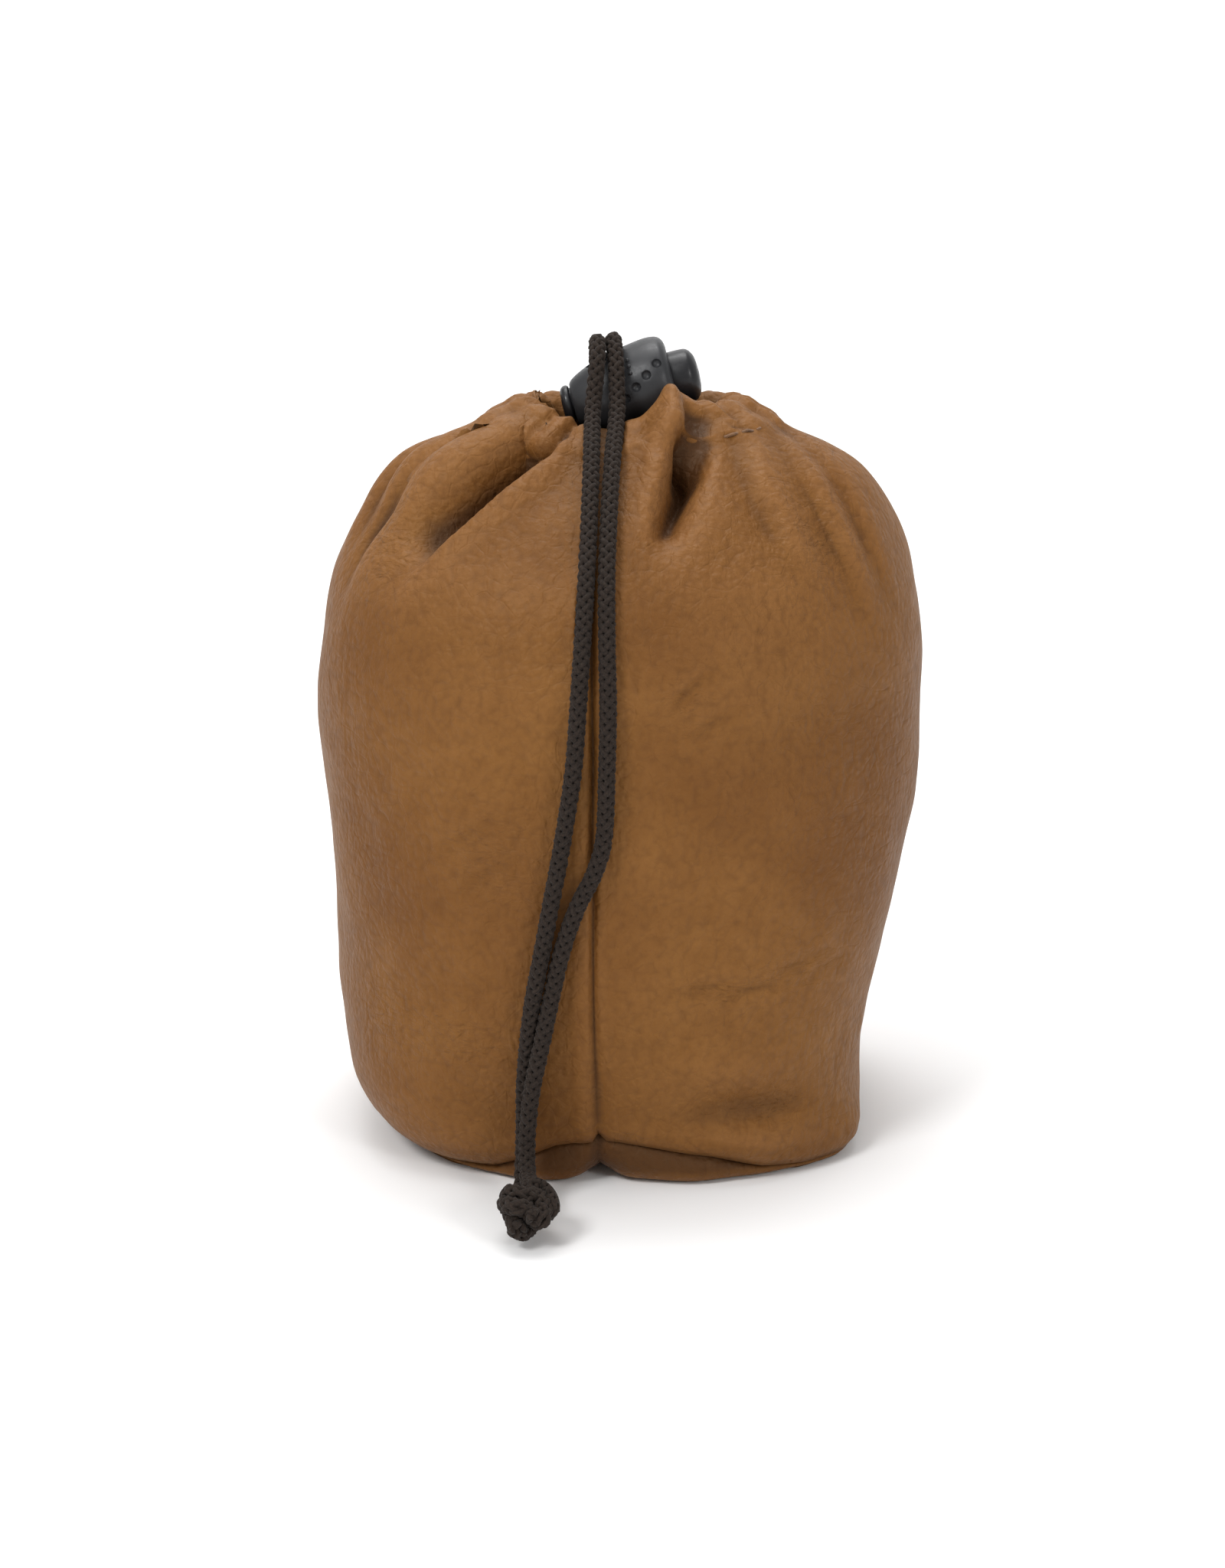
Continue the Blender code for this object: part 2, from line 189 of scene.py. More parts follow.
def grain_group():
    """Pebbled grain: small cells with soft tops, drawn out by the pull of the hide. Height runs 0 to 1."""
    group, start, end = new_group(
        "pebbled_grain",
        (("Vector", "NodeSocketVector", (0, 0, 0)), ("Scale", "NodeSocketFloat", 900.0)),
        (("Height", "NodeSocketFloat"),))
    bend = node(group, "ShaderNodeTexNoise", {"Vector": start.outputs[0], "Scale": 220.0, "Detail": 2.0})
    shift = node(group, "ShaderNodeVectorMath", {0: bend.outputs["Color"], 1: (0.0016, 0.0016, 0.0016)},
                 operation="MULTIPLY")
    place = node(group, "ShaderNodeVectorMath", {0: start.outputs[0], 1: shift.outputs[0]}, operation="ADD")
    cells = node(group, "ShaderNodeTexVoronoi", {"Vector": place.outputs[0], "Scale": start.outputs[1]},
                 feature="SMOOTH_F1")
    fine = node(group, "ShaderNodeTexNoise", {"Vector": start.outputs[0], "Scale": 2600.0, "Detail": 2.0})
    tops = math_node(group, "SUBTRACT", 1.0, cells.outputs["Distance"])
    both = math_node(group, "MULTIPLY_ADD", fine.outputs["Fac"], 0.25)
    group.links.new(tops, both.node.inputs[2])
    group.links.new(both, end.inputs[0])
    return group


def cloud_group():
    """Uneven dye: broad soft clouds and finer mottling, 0 to 1."""
    group, start, end = new_group(
        "uneven_dye",
        (("Vector", "NodeSocketVector", (0, 0, 0)), ("Broad", "NodeSocketFloat", 28.0),
         ("Fine", "NodeSocketFloat", 240.0)),
        (("Cloud", "NodeSocketFloat"), ("Mottle", "NodeSocketFloat")))
    broad = node(group, "ShaderNodeTexNoise", {"Vector": start.outputs[0], "Scale": start.outputs[1],
                                               "Detail": 3.0})
    fine = node(group, "ShaderNodeTexNoise", {"Vector": start.outputs[0], "Scale": start.outputs[2],
                                              "Detail": 4.0, "Roughness": 0.65})
    group.links.new(ramp(group, broad.outputs["Fac"], 0.35, 0.65), end.inputs[0])
    group.links.new(ramp(group, fine.outputs["Fac"], 0.3, 0.7), end.inputs[1])
    return group


def crease_group():
    """Fine creases: long thin hollows where the hide has been bent, 0 in a crease and 1 off it."""
    group, start, end = new_group(
        "fine_creases",
        (("Vector", "NodeSocketVector", (0, 0, 0)), ("Scale", "NodeSocketFloat", 120.0)),
        (("Height", "NodeSocketFloat"),))
    warp = node(group, "ShaderNodeTexNoise", {"Vector": start.outputs[0], "Scale": 60.0, "Detail": 3.0})
    shift = node(group, "ShaderNodeVectorMath", {0: warp.outputs["Color"], 1: (0.012, 0.012, 0.012)},
                 operation="MULTIPLY")
    place = node(group, "ShaderNodeVectorMath", {0: start.outputs[0], 1: shift.outputs[0]}, operation="ADD")
    net = node(group, "ShaderNodeTexVoronoi", {"Vector": place.outputs[0], "Scale": start.outputs[1]},
               feature="DISTANCE_TO_EDGE")
    group.links.new(ramp(group, net.outputs["Distance"], 0.0, 0.07), end.inputs[0])
    return group


def pull_group():
    """Pull lines: fine ridges drawn out at a slant where the hide was stretched. Height runs 0 to 1."""
    group, start, end = new_group(
        "pull_lines",
        (("Vector", "NodeSocketVector", (0, 0, 0)), ("Scale", "NodeSocketFloat", 420.0)),
        (("Height", "NodeSocketFloat"),))
    slant = node(group, "ShaderNodeMapping", {"Vector": start.outputs[0], "Rotation": (0.3, 0.75, 0.2),
                                              "Scale": (1.0, 1.0, 0.28)})
    lines = node(group, "ShaderNodeTexNoise", {"Vector": slant.outputs[0], "Scale": start.outputs[1],
                                               "Detail": 3.0, "Distortion": 0.6})
    where = node(group, "ShaderNodeTexNoise", {"Vector": start.outputs[0], "Scale": 30.0, "Detail": 1.0})
    share = ramp(group, where.outputs["Fac"], 0.38, 0.62)
    height = math_node(group, "MULTIPLY", ramp(group, lines.outputs["Fac"], 0.3, 0.7), share)
    group.links.new(height, end.inputs[0])
    return group


def buckle_group():
    """Fine creases lying mostly level, as in hide that has been pushed together. Height runs 0 to 1."""
    group, start, end = new_group(
        "buckle_creases",
        (("Vector", "NodeSocketVector", (0, 0, 0)), ("Scale", "NodeSocketFloat", 600.0)),
        (("Height", "NodeSocketFloat"),))
    level = node(group, "ShaderNodeMapping", {"Vector": start.outputs[0], "Rotation": (0.0, 0.22, 0.1),
                                              "Scale": (0.42, 0.42, 1.0)})
    lines = node(group, "ShaderNodeTexNoise", {"Vector": level.outputs[0], "Scale": start.outputs[1],
                                               "Detail": 2.5, "Distortion": 1.2})
    group.links.new(ramp(group, lines.outputs["Fac"], 0.34, 0.60), end.inputs[0])
    return group


GRAIN, CLOUDS, CREASES = grain_group(), cloud_group(), crease_group()
PULL, BUCKLES = pull_group(), buckle_group()


def new_material(name, roughness, **sockets):
    made = bpy.data.materials.new(name)
    made.use_nodes = True
    tree = made.node_tree
    shader = tree.nodes["Principled BSDF"]
    shader.inputs["Roughness"].default_value = roughness
    for label, value in sockets.items():
        shader.inputs[label.replace("_", " ")].default_value = value
    place = node(tree, "ShaderNodeTexCoord").outputs["Object"]
    return made, tree, shader, place


def use_group(tree, group, links):
    made = tree.nodes.new("ShaderNodeGroup")
    made.node_tree = group
    fill_inputs(tree, made, links)
    return made


# %% [markdown]
# The tan leather mixes a lighter rubbed tone, its body colour and a darker brown, painted shade in the
# hollows.
# Its grain is under half a millimetre wide, so it is bump. Creases that a finger could feel are real
# geometry.

# %% Leather, thread, cord, plastic and spring finishes
def leather_material():
    made, tree, shader, place = new_material("tan_leather", 0.56, Sheen_Weight=0.03, Sheen_Roughness=0.45,
                                             Specular_IOR_Level=0.26)
    shader.inputs["Sheen Tint"].default_value = (1.0, 0.74, 0.48, 1)
    shader.inputs["Specular Tint"].default_value = (1.0, 0.84, 0.62, 1)
    hollow_shade_and_rub = node(tree, "ShaderNodeAttribute", attribute_name="hollow_shade_and_rub").outputs["Fac"]
    clouds = use_group(tree, CLOUDS, {"Vector": place, "Broad": 24.0, "Fine": 260.0})
    grain = use_group(tree, GRAIN, {"Vector": place, "Scale": 860.0})
    creases = use_group(tree, CREASES, {"Vector": place, "Scale": 260.0})
    body = mix_colour(tree, clouds.outputs["Cloud"], (0.138, 0.0520, 0.0100, 1), (0.196, 0.0825, 0.0190, 1))
    body = mix_colour(tree, math_node(tree, "MULTIPLY", clouds.outputs["Mottle"], 0.35), body,
                      (0.112, 0.040, 0.0070, 1))
    # The hollow value drives two tones: ridges are mixed towards a lighter rubbed tone, which is wear, and
    # hollows towards a near-black brown, which is painted shade in the folds and creases.
    edge = ramp(tree, hollow_shade_and_rub, 0.5, 0.15)
    body = mix_colour(tree, math_node(tree, "MULTIPLY", edge, 0.5), body, (0.235, 0.103, 0.032, 1))
    deep = ramp(tree, hollow_shade_and_rub, 0.55, 1.0)
    body = mix_colour(tree, math_node(tree, "MULTIPLY", deep, 0.86), body, (0.036, 0.0125, 0.004, 1))
    pores = ramp(tree, grain.outputs["Height"], 0.75, 0.35)
    body = mix_colour(tree, math_node(tree, "MULTIPLY", pores, 0.30), body, (0.072, 0.025, 0.006, 1))
    tree.links.new(body, shader.inputs["Base Color"])
    rough = math_node(tree, "MULTIPLY_ADD", clouds.outputs["Mottle"], 0.12)
    rough.node.inputs[2].default_value = 0.50
    tree.links.new(rough, shader.inputs["Roughness"])
    low = node(tree, "ShaderNodeBump", {"Strength": 0.30, "Distance": 0.00020,
                                        "Height": creases.outputs["Height"]})
    pull = use_group(tree, PULL, {"Vector": place, "Scale": 420.0})
    middle = node(tree, "ShaderNodeBump", {"Strength": 0.55, "Distance": 0.00035,
                                           "Height": pull.outputs["Height"], "Normal": low.outputs[0]})
    buckled = node(tree, "ShaderNodeAttribute", attribute_name="buckled").outputs["Fac"]
    buckles = use_group(tree, BUCKLES, {"Vector": place, "Scale": 620.0})
    pressed = math_node(tree, "MULTIPLY", buckles.outputs["Height"], buckled)
    middle = node(tree, "ShaderNodeBump", {"Strength": 0.55, "Distance": 0.00042, "Height": pressed,
                                           "Normal": middle.outputs[0]})
    high = node(tree, "ShaderNodeBump", {"Strength": 0.90, "Distance": 0.00030,
                                         "Height": grain.outputs["Height"], "Normal": middle.outputs[0]})
    tree.links.new(high.outputs[0], shader.inputs["Normal"])
    return made


def cord_material():
    made, tree, shader, place = new_material("brown_braid", 0.86, Sheen_Weight=0.04, Sheen_Roughness=0.5,
                                             Specular_IOR_Level=0.22)
    clouds = use_group(tree, CLOUDS, {"Vector": place, "Broad": 300.0, "Fine": 2600.0})
    colour = mix_colour(tree, clouds.outputs["Mottle"], (0.0095, 0.0062, 0.0046, 1),
                        (0.032, 0.021, 0.0150, 1))
    tree.links.new(colour, shader.inputs["Base Color"])
    fibre = node(tree, "ShaderNodeTexNoise", {"Vector": place, "Scale": 5200.0, "Detail": 2.0})
    bump = node(tree, "ShaderNodeBump", {"Strength": 0.5, "Distance": 0.00008,
                                         "Height": fibre.outputs["Fac"]})
    tree.links.new(bump.outputs[0], shader.inputs["Normal"])
    return made


def thread_material():
    made, tree, shader, place = new_material("brown_thread", 0.7, Sheen_Weight=0.2)
    clouds = use_group(tree, CLOUDS, {"Vector": place, "Broad": 900.0, "Fine": 3000.0})
    colour = mix_colour(tree, clouds.outputs["Cloud"], (0.105, 0.045, 0.013, 1), (0.19, 0.088, 0.030, 1))
    tree.links.new(colour, shader.inputs["Base Color"])
    return made


def plastic_material(name, dark, light, roughness):
    made, tree, shader, place = new_material(name, roughness, Specular_IOR_Level=0.38)
    clouds = use_group(tree, CLOUDS, {"Vector": place, "Broad": 160.0, "Fine": 1400.0})
    tree.links.new(mix_colour(tree, clouds.outputs["Cloud"], dark, light), shader.inputs["Base Color"])
    rough = math_node(tree, "MULTIPLY_ADD", clouds.outputs["Mottle"], 0.14)
    rough.node.inputs[2].default_value = roughness - 0.07
    tree.links.new(rough, shader.inputs["Roughness"])
    spark = node(tree, "ShaderNodeTexNoise", {"Vector": place, "Scale": 3800.0, "Detail": 1.0})
    bump = node(tree, "ShaderNodeBump", {"Strength": 0.25, "Distance": 0.00004,
                                         "Height": spark.outputs["Fac"]})
    tree.links.new(bump.outputs[0], shader.inputs["Normal"])
    return made


def steel_material():
    made, tree, shader, place = new_material("spring_wire", 0.3, Metallic=1.0)
    clouds = use_group(tree, CLOUDS, {"Vector": place, "Broad": 400.0, "Fine": 2500.0})
    colour = mix_colour(tree, clouds.outputs["Cloud"], (0.40, 0.40, 0.41, 1), (0.62, 0.62, 0.63, 1))
    tree.links.new(colour, shader.inputs["Base Color"])
    return made


LEATHER = leather_material()
CORD = cord_material()
THREAD = thread_material()
SHELL = plastic_material("charcoal_plastic", (0.020, 0.0205, 0.0225, 1), (0.031, 0.0315, 0.034, 1), 0.42)
BLACK = plastic_material("black_plastic", (0.009, 0.009, 0.0105, 1), (0.016, 0.016, 0.018, 1), 0.36)
STEEL = steel_material()
print("materials:", [m.name for m in (LEATHER, CORD, THREAD, SHELL, BLACK, STEEL)])

# %% [markdown]
# ## The braided cord
# The cord is about 3 mm across: eight bundles of yarn, four winding each way, that pass over and under
# each other. A smooth tube with a picture of a braid would look flat up close, so each bundle is swept
# along the cord's line. The line itself is a short list of points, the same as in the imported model.

# %% Cord routes and sweep helpers
LOCK_AT = Vector((-0.7, -1.0, 135.7))          # middle of the lock's cord hole, in mm
CORD_PITCH = 3.3                               # between the two cords in the hole
CORD_R = 1.5
joints = {joint["name"]: joint for joint in frame["record"]["behaviour"]["joints"]}
HOLE_AXIS = Vector(joints["lock_slide"]["axis"]).normalized()
LOCK_AXIS = -Vector(joints["plunger_press"]["axis"]).normalized()
TAIL_LEFT = (
    (-4.1, -3.4, 144.6), (-3.9, -6.6, 145.3), (-3.9, -9.9, 143.4), (-4.2, -11.9, 139.6),
    (-4.6, -13.7, 135.6), (-4.8, -17.2, 132.0), (-4.9, -25.8, 127.0), (-5.1, -33.5, 120.6),
    (-5.6, -41.9, 110.1), (-6.3, -47.2, 98.6), (-7.0, -49.7, 88.5), (-7.9, -51.2, 77),
    (-9.8, -51.9, 64.5), (-11.9, -52.2, 53.2), (-13.4, -52.2, 45), (-15.3, -52.1, 34.5),
    (-16.5, -51.8, 22.6), (-16.7, -51.6, 15), (-16.8, -52.0, 10), (-16.9, -53.4, 6.2),
    (-17.0, -56.2, 3.4), (-17.0, -59.9, 2.6), (-17.0, -63.9, 3.6),
)
TAIL_RIGHT = (
    (-1.1, -3.1, 145.4), (-1.0, -5.2, 145.3), (-0.8, -7.7, 143.7), (-0.6, -9.9, 141.1),
    (-0.5, -11.5, 138.2), (-0.4, -13.6, 134.9), (-0.6, -17.2, 131.8), (-1.2, -25.8, 127.0),
    (-1.7, -33.5, 120.6), (-2.2, -41.9, 110.1), (-2.2, -47.2, 98.6), (-2.0, -49.7, 88.5),
    (-2.2, -51.2, 77), (-2.7, -51.9, 65.5), (-4.3, -52.2, 59.5), (-7.3, -52.3, 53.2), (-9.9, -52.3, 45.5),
    (-11.9, -52.5, 36.5), (-13.6, -53.7, 28.5), (-15.2, -54.8, 21), (-15.9, -55.1, 15),
    (-16.1, -55.4, 11.4), (-16.1, -56.8, 8.4), (-15.8, -59.4, 6.7), (-15.4, -63.6, 6.9),
)
LOOP_TO_CASING_LEFT = ((-2.2, -2.1, 123.4), (-3.6, -6.4, 123.2), (-5.9, -10.0, 125.4))
LOOP_TO_CASING_RIGHT = ((2.1, -2.2, 123.9), (2.2, -6.2, 124.0), (2.5, -9.8, 126.1), (4.6, -12.8, 127.9))
LOOP_LEFT_ANGLE, LOOP_RIGHT_ANGLE = -136, -70


def spline_points(points, per_span):
    """A smooth curve through the points (Catmull-Rom)."""
    points = [Vector(p) for p in points]
    padded = [2 * points[0] - points[1], *points, 2 * points[-1] - points[-2]]
    samples = []
    for a, b, c, d in zip(padded, padded[1:], padded[2:], padded[3:]):
        for k in range(per_span):
            t = k / per_span
            samples.append(0.5 * ((2 * b) + (c - a) * t + (2 * a - 5 * b + 4 * c - d) * t ** 2
                                  + (3 * b - a - 3 * c + d) * t ** 3))
    return samples + [points[-1]]


def even_path(points, step):
    """The same line with points a fixed step apart, in mm, as an array."""
    line = np.array([tuple(p) for p in points], dtype=float)
    run = np.concatenate([[0], np.cumsum(np.linalg.norm(np.diff(line, axis=0), axis=1))])
    count = max(2, int(round(run[-1] / step)) + 1)
    at = np.linspace(0, run[-1], count)
    return np.stack([np.interp(at, run, line[:, k]) for k in range(3)], axis=1), run[-1]


def carried_frames(line):
    """Two directions across the line at every point, turned as little as possible along it."""
    along = np.gradient(line, axis=0)
    along /= np.linalg.norm(along, axis=1)[:, None]
    side = np.zeros_like(line)
    start = np.cross(along[0], (0.3, 1.0, 0.2))
    side[0] = start / np.linalg.norm(start)
    for k in range(1, len(line)):
        across = side[k - 1] - along[k] * np.dot(side[k - 1], along[k])
        side[k] = across / np.linalg.norm(across)
    return side, np.cross(along, side)


def curve_mesh(name, lines, radius, finish, sides=1):
    """Round tubes along the lines, in mm, as one mesh."""
    curve = bpy.data.curves.new(name, "CURVE")
    curve.dimensions = "3D"
    curve.bevel_depth = radius * MM
    curve.bevel_resolution = sides
    curve.use_fill_caps = True
    for line in lines:
        spline = curve.splines.new("POLY")
        spline.points.add(len(line) - 1)
        flat = np.ones((len(line), 4))
        flat[:, :3] = np.asarray([tuple(p) for p in line]) * MM
        spline.points.foreach_set("co", flat.ravel())
    shape = bpy.data.objects.new(name + "_shape", curve)
    scene.collection.objects.link(shape)
    view = bpy.context.evaluated_depsgraph_get()
    mesh = bpy.data.meshes.new_from_object(shape.evaluated_get(view))
    bpy.data.objects.remove(shape, do_unlink=True)
    mesh.name = name
    mesh.materials.clear()
    mesh.materials.append(finish)
    mesh.shade_smooth()
    piece = bpy.data.objects.new(name, mesh)
    scene.collection.objects.link(piece)
    return piece


BRAID_LAY = 7.6          # mm along the cord for one full turn of a bundle
BUNDLE_R = 0.49
BUNDLE_RING = 0.97
BUNDLE_LIFT = 0.17       # how far a bundle rises and sinks as it crosses the others
CORE_R = 0.78


def braid(name, route, step=0.3, radius=CORD_R):
    """An eight-bundle braid along a route in mm: the mesh piece, its path in metres and its length."""
    line, length = even_path(route, step)
    side, other = carried_frames(line)
    grow = radius / CORD_R
    turn = np.arange(len(line)) * step * math.tau / BRAID_LAY
    lines = []
    for way in (1, -1):
        out = grow * (BUNDLE_RING + way * BUNDLE_LIFT * np.cos(4 * turn))
        for k in range(4):
            angle = way * turn + k * math.pi / 2
            across = (np.cos(angle) * out)[:, None] * side + (np.sin(angle) * out)[:, None] * other
            lines.append(line + across)
    piece = curve_mesh(name, lines, BUNDLE_R * grow, CORD)
    join_into(piece, curve_mesh(name + "_core", [line[::4]], CORE_R * grow, CORD, sides=2))
    return piece, [tuple(p * MM) for p in line[::3]], length * MM


def join_into(piece, *others):
    bm = bmesh.new()
    bm.from_mesh(piece.data)
    for other in others:
        bm.from_mesh(other.data)
        bpy.data.objects.remove(other, do_unlink=True)
    bm.to_mesh(piece.data)
    bm.free()
    piece.data.shade_smooth()


def in_hole(side, heights):
    foot = LOCK_AT + LOCK_AXIS * side * CORD_PITCH / 2
    return [foot + HOLE_AXIS * height for height in heights]


# %% Tails and the cord in the casing
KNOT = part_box("tail_knot")
INTO_KNOT = 0.42                               # how far each tail goes on towards the knot's middle, 0 to 1
HOLE_FOOT = 5.3                                # where the tails begin, along the lock's cord hole, in mm
tails = {}
for label, route, side, hole_top in (("left", TAIL_LEFT, -1, 7.2), ("right", TAIL_RIGHT, 1, 8.0)):
    start = in_hole(side, (HOLE_FOOT, hole_top))
    last = Vector(route[-1])
    inside_knot = last.lerp((Vector(KNOT[0]) + Vector(KNOT[1])) / 2 / MM, INTO_KNOT)
    points = spline_points(start + [Vector(p) for p in route] + [inside_knot], 12)
    piece, path, length = braid("braided_tail_" + label, points)
    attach(piece, "cord_lock")
    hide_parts("drawcord_tail_" + label)
    tails[label] = (piece, path, length)
    print("tail", label, "mm:", round(length / MM, 1), "triangles about", len(piece.data.polygons) * 2)

# %% [markdown]
# The drawcord's other stretch rises out of the mouth, inside the lock, and runs round in the casing. Only
# its two rising ends can be seen, so the ring is one plain braid like the tails.

# %% The drawcord in the casing
MOUTH = Vector((2.2, -1.0, 131.3))             # middle of the ring that the cord makes in the casing, mm
RING_RX, RING_RY = 20.1, 13.6
FRONT_DROP = 4.5                               # the mouth dips at the front
DIP_AT, DIP_WIDTH = math.radians(-104), 0.55


def front_dip(angle):
    away = (angle - DIP_AT + math.pi) % math.tau - math.pi
    return np.exp(-(away / DIP_WIDTH) ** 2)


def ring_point(angle):
    drop = FRONT_DROP * float(front_dip(angle))
    return MOUTH + Vector((RING_RX * math.cos(angle), RING_RY * math.sin(angle), -drop))


def make_loop():
    sweep = math.tau - math.radians(LOOP_RIGHT_ANGLE - LOOP_LEFT_ANGLE)
    ring = [ring_point(math.radians(LOOP_LEFT_ANGLE) - sweep * k / 30) for k in range(31)]
    heights = (5.0, -1.0, -7.0)
    route = in_hole(-1, heights) + [Vector(p) for p in LOOP_TO_CASING_LEFT] + ring
    route += [Vector(p) for p in reversed(LOOP_TO_CASING_RIGHT)] + in_hole(1, heights[::-1])
    piece, path, length = braid("braided_loop", spline_points(route, 8), step=0.36)
    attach(piece, "bag")
    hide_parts("drawcord_loop")
    print("cord in the casing, mm:", round(length / MM, 1))
    return np.array(path) / MM


loop_path = make_loop()

# %% [markdown]
# ## The knot
# Both tails are tied together in one overhand knot, pulled tight. Two cords side by side follow an open
# trefoil through themselves, and their cut ends, sealed by a flame, point forward.

# %% Knot of two cords
def trefoil(turn, size, centre):
    """An overhand knot's path from its entry at the back to its exit at the front, in mm."""
    a = turn
    across = math.sin(a) + 2 * math.sin(2 * a)
    up = math.cos(a) - 2 * math.cos(2 * a)
    deep = -math.sin(3 * a)
    return Vector(centre) + Vector((across * size[0], deep * size[1], up * size[2]))


def make_knot():
    low, high = (Vector(corner) / MM for corner in KNOT)
    centre = (low + high) / 2
    half = (high - low) / 2
    strands = []
    for side in (-1, 1):
        grow = 1.0 + 0.10 * side
        size = (1.32 * grow, 2.6, 1.22 * grow)
        loop = [trefoil(math.tau * (k / 40), size, centre + Vector((0.5 * side, 1.3 * side, 0.3 * side)))
                for k in range(3, 38)]
        entry = Vector((centre.x + 1.65 * side, high.y - 0.2, 3.7))
        lead = Vector((centre.x + 1.2 * side, high.y - 2.6, 4.6))
        tip = Vector((centre.x + 1.5 * side, low.y + 1.6, centre.z - 0.6 + 1.1 * side))
        strands.append([entry, lead, *loop, tip])
    made = []
    for points in strands:
        smooth = spline_points(points[:2] + points[2:-1:3] + points[-1:], 10)
        piece, _, _ = braid("knot_strand", smooth, step=0.3, radius=CORD_R * 1.02)
        made.append(piece)
    knot = made[0]
    join_into(knot, made[1])
    knot.name = "tight_knot"
    bm = bmesh.new()
    bm.from_mesh(knot.data)
    for vert in bm.verts:
        rel = Vector([(vert.co[i] / MM - centre[i]) / (half[i] + 0.15) for i in range(3)])
        if rel.length > 1:
            rel *= 1 / rel.length
            vert.co = Vector([centre[i] + rel[i] * (half[i] + 0.15) for i in range(3)]) * MM
    bm.to_mesh(knot.data)
    bm.free()
    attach(knot, "cord_lock")
    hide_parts("tail_knot")
    return knot


knot = make_knot()
print("knot triangles about", len(knot.data.polygons) * 2)

# %% [markdown]
# ## The cord lock
# A bell-shaped barrel with a wide end, and a plunger that pokes through it: a button at the wide end and a
# rounded stop at the narrow one. Both are moulded, so every rim is rounded. A row of small hollows gives
# the fingers a grip, and a coil spring sits behind the button.

# %% Lock barrel, plunger and spring
BARREL_OUTSIDE = (                 # along the axis, radius
    (-7.8, 3.7), (-7.3, 4.3), (-6.0, 5.1), (-4.0, 6.0), (-1.8, 6.8), (1.0, 7.5), (4.0, 8.0),
    (6.5, 8.35), (8.2, 8.4), (9.6, 8.1), (10.4, 7.3), (10.7, 6.4),
)
RECESS_R, RECESS_FLOOR, BORE_R = 5.3, 4.6, 3.3
HOLE_HALF_WIDTH = 1.9
STEM_R, FLANGE_R, BUTTON_R = 3.0, 3.6, 4.9
BUTTON_FOOT, BUTTON_TOP = 10.2, 15.7
PLUNGER_TRAVEL = 3.0
WIRE_R, COIL_R, COIL_TURNS = 0.25, 4, 3.5
LOCK_FRAME = Matrix((HOLE_AXIS, LOCK_AXIS.cross(HOLE_AXIS), LOCK_AXIS)).transposed().to_4x4()
LOCK_FRAME.translation = LOCK_AT * MM


def rounded(profile, per_span):
    """A turned outline through the points with the corners eased: (along, radius) pairs."""
    smooth = spline_points([Vector((a, r, 0)) for a, r in profile], per_span)
    return [(p.x, max(p.y, 0.0)) for p in smooth]


def turned(name, profile, finish, sides=96):
    bm = bmesh.new()
    verts = [bm.verts.new((radius * MM, 0, along * MM)) for along, radius in profile]
    edges = [bm.edges.new((a, b)) for a, b in zip(verts, verts[1:] + verts[:1])]
    on_axis = [e for e in edges if all(abs(v.co.x) < 1e-9 for v in e.verts)]
    bmesh.ops.delete(bm, geom=on_axis, context="EDGES")
    edges = [e for e in edges if e.is_valid]
    bmesh.ops.spin(bm, geom=verts + edges, cent=(0, 0, 0), axis=(0, 0, 1), angle=math.tau, steps=sides,
                   use_merge=True)
    bmesh.ops.remove_doubles(bm, verts=bm.verts, dist=1e-6)
    bmesh.ops.recalc_face_normals(bm, faces=bm.faces)
    mesh = bpy.data.meshes.new(name)
    bm.to_mesh(mesh)
    bm.free()
    mesh.materials.append(finish)
    piece = bpy.data.objects.new(name, mesh)
    scene.collection.objects.link(piece)
    return piece


def slot_cutter(low, high, half_width, reach):
    """A round-ended prism across the lock, cutting along its local X."""
    bm = bmesh.new()
    outline = []
    for centre, turn in ((high - half_width, 0), (low + half_width, math.pi)):
        for k in range(17):
            angle = turn - math.pi / 2 + math.pi * k / 16
            outline.append((half_width * math.sin(angle), centre + half_width * math.cos(angle)))
    face = bm.faces.new([bm.verts.new((-reach * MM, y * MM, z * MM)) for y, z in outline])
    grown = bmesh.ops.extrude_face_region(bm, geom=[face])["geom"]
    moved = [v for v in grown if isinstance(v, bmesh.types.BMVert)]
    bmesh.ops.translate(bm, verts=moved, vec=(2 * reach * MM, 0, 0))
    bmesh.ops.recalc_face_normals(bm, faces=bm.faces)
    return temporary_object("slot_cutter", bm)


def temporary_object(name, bm):
    mesh = bpy.data.meshes.new(name)
    bm.to_mesh(mesh)
    bm.free()
    made = bpy.data.objects.new(name, mesh)
    scene.collection.objects.link(made)
    return made


def apply_modifiers(piece):
    view = bpy.context.evaluated_depsgraph_get()
    mesh = bpy.data.meshes.new_from_object(piece.evaluated_get(view))
    piece.modifiers.clear()
    piece.data = mesh


def cut_with(piece, *tools):
    for tool in tools:
        cut = piece.modifiers.new("cut", "BOOLEAN")
        cut.operation = "DIFFERENCE"
        cut.solver = "EXACT"
        cut.object = tool
    apply_modifiers(piece)
    for tool in tools:
        bpy.data.objects.remove(tool, do_unlink=True)


def soften(piece, width):
    edge = piece.modifiers.new("soft_edges", "BEVEL")
    edge.width = width * MM
    edge.segments = 2
    edge.limit_method = "ANGLE"
    edge.angle_limit = math.radians(35)
    apply_modifiers(piece)
    piece.data.shade_smooth()
    piece.data.set_sharp_from_angle(angle=math.radians(50))


def barrel_radius(along):
    a, r = zip(*BARREL_OUTSIDE)
    return float(np.interp(along, a, r))


